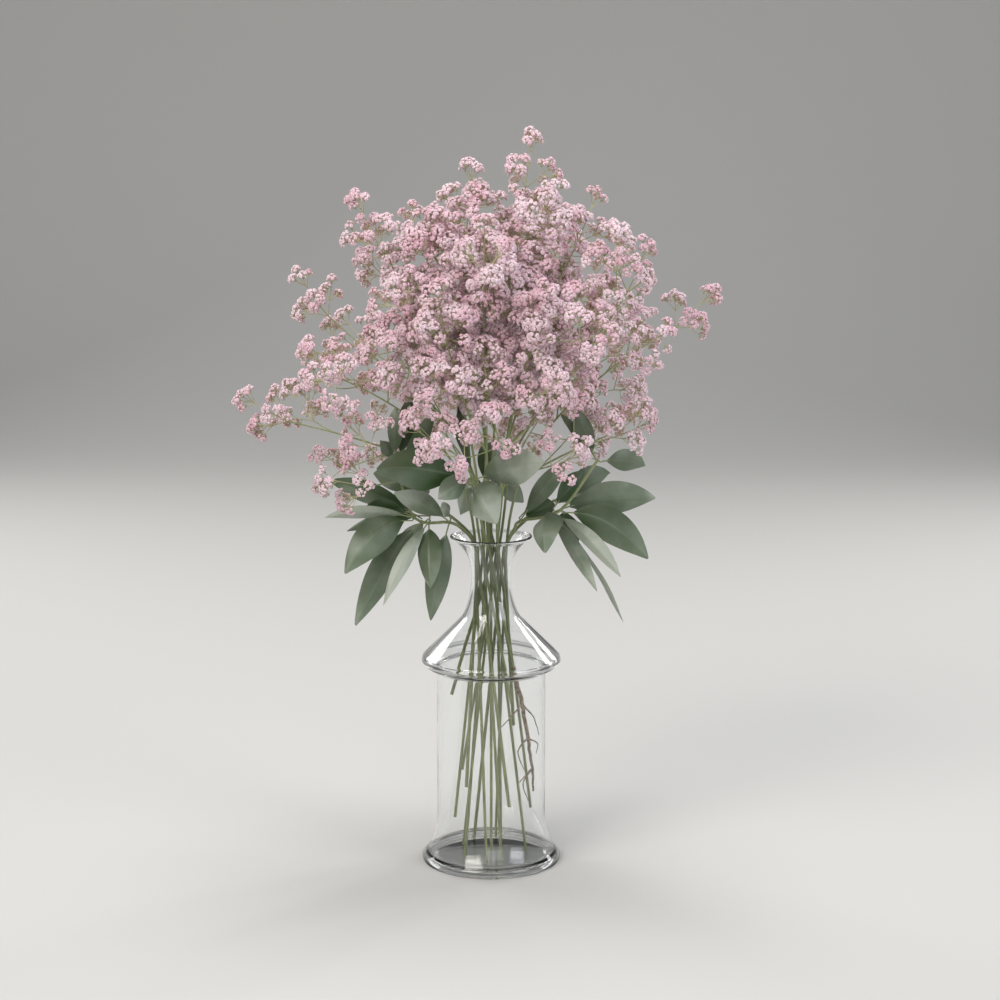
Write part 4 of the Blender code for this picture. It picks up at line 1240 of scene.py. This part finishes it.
def dressSpray(name, chance, umbels, materials, route, curves, hubs, plan, extras):
    shape = bmesh.new()
    shape.verts.layers.float.new("tint")
    foot, top, _, fork = route
    trunk = [foot, mix(foot, top, 0.35), mix(foot, top, 0.7)]
    trunk += curved(trunkBend(foot, top, fork), 0, 1, sprig["bendSteps"])
    thick, middling, fine = [withRadii("trunk", trunk)], [], []
    for curve, own, clusters, more in zip(curves, hubs, plan, extras):
        thick.append(withRadii("stalk", curved(curve, 0, 1, sprig["stalkSteps"])))
        for place, hub, _ in own:
            if place < 1:
                branch = bowed(bezier(curve, place), hub, sprig["branchSag"], sprig["branchSteps"])
                middling.append(withRadii("branch", branch))
        for hub, centre, found in clusters:
            axis = unit(centre - hub)
            last = max((start @ axis, k) for k, (start, _, _) in enumerate(found))[1]
            twig = bowed(hub, found[last][0], sprig["twigSag"], sprig["twigSteps"])
            fine.append(withRadii("twig", twig))
            fine += [addUmbel(shape, chance, umbels, *each) for each in found]
        fine += [addUmbel(shape, chance, umbels, *each) for each in more]
    for paths, sides, slot in ((thick, 12, 0), (middling, 8, 0), (fine, 4, 1)):
        if paths:
            pour(shape, tubes(paths, sides, slot))
    mesh = meshFrom(shape, "flowerSpray")
    addPiece("flowerSpray." + name, mesh, materials, "flower_spray_" + name)


leaf = {
    "across": 12,  # faces across a blade and down it
    "along": 28,
    "thickness": 0.6,  # at the rib; the edge is sharp
    "twist": 0.55,  # most that a blade turns from its stalk to its tip, each way
    # the paler tip is partly bloom and partly painted shade on the base, under the flowers
    "tipBloomAndBaseShade": 0.5,  # how much paler the tip is than the base
    "ripple": 1.0,
    "ripples": 1.6,
    "start": 0.12,  # share of the leaf's length where the stalk becomes the blade
    "rib": (0.75, 0.16),
    "ribEnd": 0.94,  # share of the leaf's length where the rib ends
    "ribSteps": 14,
    "ribBelow": 0.95,  # how far the rib's middle lies below the upper skin
    "bloom": (0.25, 0.75),  # for the leaves that aren't in leafLooks
    "fold": (0.15, 0.45),
}
# How each leaf looks: its bloom, from 0 for fresh green to 1 for pale, with painted light and shade in it
# (leaves in shade are set darker and lit ones paler), and the depth of its fold as a share of its half width
leafLooks = {
    "left": [(0.5, 0.4), (0.6, 0.34), (0.44, 0.36), (0.58, 0.52), (0.95, 0.4), (0.9, 0.45), (0.12, 0.2),
             (0.08, 0.25), (1.0, 0.35), (0.85, 0.3), (0.3, 0.3), (0.8, 0.5), (0.6, 0.4), (0.3, 0.2), (0.4, 0.3),
             (0.6, 0.3)],
    "front": [(0.28, 0.2), (0.78, 0.38), (0.82, 0.66), (0.1, 0.2), (0.62, 0.3)],
    "right": [(0.46, 0.26), (0.6, 0.6), (0.62, 0.28), (1.0, 0.5), (0.75, 0.5), (0.95, 0.3), (0.12, 0.25),
              (0.6, 0.3), (0.62, 0.3), (0.25, 0.3), (0.5, 0.3), (0.15, 0.3), (0.12, 0.3), (0.5, 0.3)],
}
bladeShares = np.polyfit(*zip(*leafy["outline"]), 5)


def bladeHalf(t, width):
    return width / 2 * max(0.02, float(np.polyval(bladeShares, min(t, 1.0))))


def bladeTurn(turn, twist, t):
    return turn + twist * (t - 0.5)


def addBlade(shape, layers, chance, curve, width, turn, twist, look):
    # A folded blade with two skins that meet in a sharp edge
    uvMap, shade = layers
    bloom, fold = look
    made = bmesh.ops.create_grid(shape, x_segments=leaf["across"], y_segments=leaf["along"], size=1.0)["verts"]
    faces = list({face for vert in made for face in vert.link_faces})
    for face in faces:
        face.smooth = True
        face.material_index = 1
        for loop in face.loops:
            loop[uvMap].uv = ((loop.vert.co.x + 1) / 2, (loop.vert.co.y + 1) / 2)
    edges = list({edge for face in faces for edge in face.edges})
    for edge in edges:
        edge.smooth = len(edge.link_faces) > 1
    copies = bmesh.ops.duplicate(shape, geom=made + edges + faces)
    below = copies["vert_map"]
    under = onlyOf(bmesh.types.BMFace, copies["geom"])
    bmesh.ops.reverse_faces(shape, faces=under)
    for face in under:
        face.material_index = 2
    phase = chance.uniform(0, math.tau)
    rims = {}
    for vert in made:
        other = below[vert]
        v, t = vert.co.x, mix(leaf["start"], 1.0, (vert.co.y + 1) / 2)
        if max(abs(vert.co.x), abs(vert.co.y)) > 0.999:
            rims[other] = vert
        along, across = leafFrame(curve, t, bladeTurn(turn, twist, t))
        down = np.cross(along, across)
        half = bladeHalf(t, width)
        sag = fold * half * (1 - abs(v) ** 1.1)
        wave = leaf["ripple"] * mm * v * v * math.sin(math.tau * leaf["ripples"] * t + phase + v)
        place = bezier(curve, t) + across * half * v + down * (wave - sag)
        vert.co = place
        other.co = place + down * leaf["thickness"] * mm * (1 - v * v)
        # bloom with painted light and shade: the leaf's own value, darker at the shaded base and paler towards
        # the tip
        vert[shade] = other[shade] = bloom + leaf["tipBloomAndBaseShade"] * (t - 0.5)
    bmesh.ops.weld_verts(shape, targetmap=rims)


def ribDrop(curve, t, turn, width, fold):
    # Keeps the rib under the fold of the blade
    if t < leaf["start"]:
        return np.zeros(3)
    below = leaf["ribBelow"] * mm * min(1.0, (t - leaf["start"]) / leaf["start"])
    return np.cross(*leafFrame(curve, t, turn)) * (below - fold * bladeHalf(t, width))


def dressLeafyStem(name, chance, materials, route, leaves):
    shape = bmesh.new()
    layers = shape.loops.layers.uv.new("leafMap"), shape.verts.layers.float.new("bloom")
    stem = [route[0], mix(route[0], route[1], 0.5), *smoothed(route[1:], 5)]
    paths = [(stem, np.linspace(growth["stem"], leafy["tip"], len(stem)))]
    end, steps = leaf["ribEnd"], leaf["ribSteps"]
    for number, (place, level, curve, width, turn) in enumerate(leaves):
        look = chance.uniform(*leaf["bloom"]), chance.uniform(*leaf["fold"])
        if name in leafLooks:
            look = leafLooks[name][number]
        twist = chance.uniform(-1, 1) * leaf["twist"]
        addBlade(shape, layers, chance, curve, width, turn, twist, look)
        rib = [mix(levelCentre(route, place, level), curve[0], 0.3), *curved(curve, 0, end, steps)]
        rib = [point + ribDrop(curve, t, bladeTurn(turn, twist, t), width, look[1])
               for point, t in zip(rib, [0, *np.linspace(0, end, steps)])]
        paths.append((rib, np.linspace(*leaf["rib"], len(rib)) * mm))
    pour(shape, tubes(paths))
    mesh = meshFrom(shape, "leafyStem")
    addPiece("leafyStem." + name, mesh, materials, "leafy_stem_" + name)


def smoothed(points, steps):
    # A smooth path through points (Catmull-Rom)
    padded = [2 * points[0] - points[1], *points, 2 * points[-1] - points[-2]]
    path = []
    for a, b, c, d in zip(padded, padded[1:], padded[2:], padded[3:]):
        for k in range(steps):
            t = k / steps
            path.append(0.5 * (2 * b + (c - a) * t + (2 * a - 5 * b + 4 * c - d) * t**2
                               + (3 * b - a - 3 * c + d) * t**3))
    return [*path, points[-1]]


# The root in which the front leafy stem ends: its course down, and its side roots by the course's points
rootTwig = {
    "course": [(28, -13, 150), (33, -14, 118), (37, -10, 88), (38, -6, 66)],
    "sides": [
        (0, [(18, -20, 140), (6, -24, 128)]), (0, [(38, -14, 138), (43, -11, 120)]),
        (1, [(24, -24, 108), (30, -30, 92)]), (1, [(42, -3, 110), (42, 6, 98)]),
        (2, [(29, -17, 76), (33, -22, 62)]), (2, [(33, 1, 80), (26, 6, 70)]),
    ],
    "radii": (2.2, 0.9),
    "sideRadii": (0.88, 0.35),
    "wander": 0.7,
    "seed": 3,
}


def wandering(chance, points, wander):
    return [point + [chance.uniform(-1, 1) * wander for _ in range(3)] for point in points]


def dressRoot(stemFoot, stemDirection):
    # Crooked brown root with side roots
    chance = random.Random(rootTwig["seed"])
    wander = rootTwig["wander"] * mm
    course = [stemFoot - stemDirection * growth["seatGap"], *inMetres(rootTwig["course"])]
    main = smoothed(course, 6)
    main = [main[0], *wandering(chance, main[1:], wander)]
    paths = [(main, np.linspace(*rootTwig["radii"], len(main)) * mm)]
    for place, points in rootTwig["sides"]:
        way = smoothed([course[place + 1], *inMetres(points)], 5)
        way = wandering(chance, way, 0.5 * wander)
        paths.append((way, np.linspace(*rootTwig["sideRadii"], len(way)) * mm))
    addPiece("rootTwig", tubes(paths), [rootMaterial()], "root")


studio = {
    "floor": "#CFCECB",
    "world": "#C4C7CB",
    "worldStrength": 0.4,
    # the sweep, in metres: half its width, its front edge, where it begins to rise, its back, and its height
    "sweep": (4.0, -3.0, 2.2, 3.4, 4.0),
    "sweepBend": (1.2, 16),  # how high the bend reaches, in metres, and its steps
    # each soft box: place, width and height, watts, colour, what it points at
    "lamps": [
        ((-1.2, -1.5, 1.9), (1.2, 1.2), 33, "#FFF9F2", (0, 0, 0.4)),
        ((0.25, -2.5, 1.5), (1.6, 1.6), 12, "#FFFFFF", (0, 0, 0.5)),
        ((1.6, -1.2, 1.1), (1.0, 1.0), 13, "#F4F7FF", (0, 0, 0.35)),
        ((0.1, 0.3, 2.3), (1.0, 1.0), 18, "#FFFFFF", (0, 0, 0.3)),
        ((-1.5, 1.5, 1.25), (1.1, 1.0), 16, "#FFFFFF", (0, 0, 0.25)),
        ((1.25, 1.6, 1.2), (0.25, 1.1), 7, "#FFFFFF", (0, 0, 0.25)),
        ((1.75, 1.2, 1.2), (0.3, 1.1), 7, "#FFFFFF", (0, 0, 0.25)),
    ],
}


def buildSweep():
    # Pale paper that runs back and up in one bend
    shape = bmesh.new()
    half, front, rise, back, height = studio["sweep"]
    high, steps = studio["sweepBend"]
    turn = bend(np.array([rise, 0.0]), np.array([back, 0.0]), np.array([back, high]), steps)
    profile = [(front, 0.0), (rise, 0.0), *turn, (back, height)]
    line = [shape.verts.new((-half, y, z)) for y, z in profile]
    edges = [shape.edges.new(pair) for pair in zip(line, line[1:])]
    made = bmesh.ops.extrude_edge_only(shape, edges=edges)["geom"]
    bmesh.ops.translate(shape, vec=(2 * half, 0, 0), verts=onlyOf(bmesh.types.BMVert, made))
    mesh = smoothMesh(shape, "paperSweep")
    mesh.materials.append(startMaterial("matPaper", {"Base Color": hexColour(studio["floor"]), "Roughness": 0.9,
                                                     "Specular IOR Level": 0.2})[0])
    addObject("paperSweep", mesh)


def buildStudio():
    # The sweep, seven soft boxes and a grey world
    buildSweep()
    for number, (place, size, watts, colour, target) in enumerate(studio["lamps"]):
        light = bpy.data.lights.new("softBox" + str(number), "AREA")
        light.shape = "RECTANGLE"
        light.size, light.size_y = size
        light.energy = watts
        light.color = hexColour(colour)[:3]
        lamp = addObject("softBox" + str(number), light)
        lamp.location = place
        lamp.rotation_euler = (Vector(target) - Vector(place)).to_track_quat("-Z", "Y").to_euler()
    world = bpy.data.worlds.new("studio")
    world.use_nodes = True
    background = world.node_tree.nodes["Background"]
    background.inputs["Color"].default_value = hexColour(studio["world"])
    background.inputs["Strength"].default_value = studio["worldStrength"]
    bpy.context.scene.world = world
    bpy.context.scene.view_settings.view_transform = "Standard"


def main():
    buildStudio()
    print("studio set")
    buildBottle()
    print("bottle built")
    routes, curves, hubs, leafyRoutes, leaves = planStems()
    print("stems planned:", clusterCount(hubs), "clusters")

    chance = random.Random(growth["seed"])
    plan, extras, count = planUmbels(curves, hubs)
    print("umbels planned:", count)
    florets = [makeFloret(chance, size) for size in np.linspace(*floret["sizes"], floret["kinds"])]
    bud = makeBud()
    umbels = [makeUmbel(chance, florets, bud) for _ in range(umbel["kinds"])]
    freshStem = stemMaterial()
    materials = [freshStem, pedicelMaterial(), petalMaterial()]
    for name, stem in flowerStems.items():
        keys = [(name, k) for k in range(len(stem[5]))]
        dressSpray(name, chance, umbels, materials, routes[name],
                   *[[table[key] for key in keys] for table in (curves, hubs, plan, extras)])
    print("sprays dressed")

    materials = [freshStem, leafMaterial("upper"), leafMaterial("under")]
    for name, route in leafyRoutes.items():
        dressLeafyStem(name, chance, materials, route, leaves[name])
    print("leaves dressed")
    foot, top = leafyRoutes["front"][:2]
    dressRoot(foot, unit(top - foot))
    print("root dressed")

    for mesh in [mesh for mesh in bpy.data.meshes if not mesh.users]:
        bpy.data.meshes.remove(mesh)
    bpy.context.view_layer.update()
    print("pieces dressed:", sum(len(mesh.polygons) for mesh in bpy.data.meshes), "faces")


main()
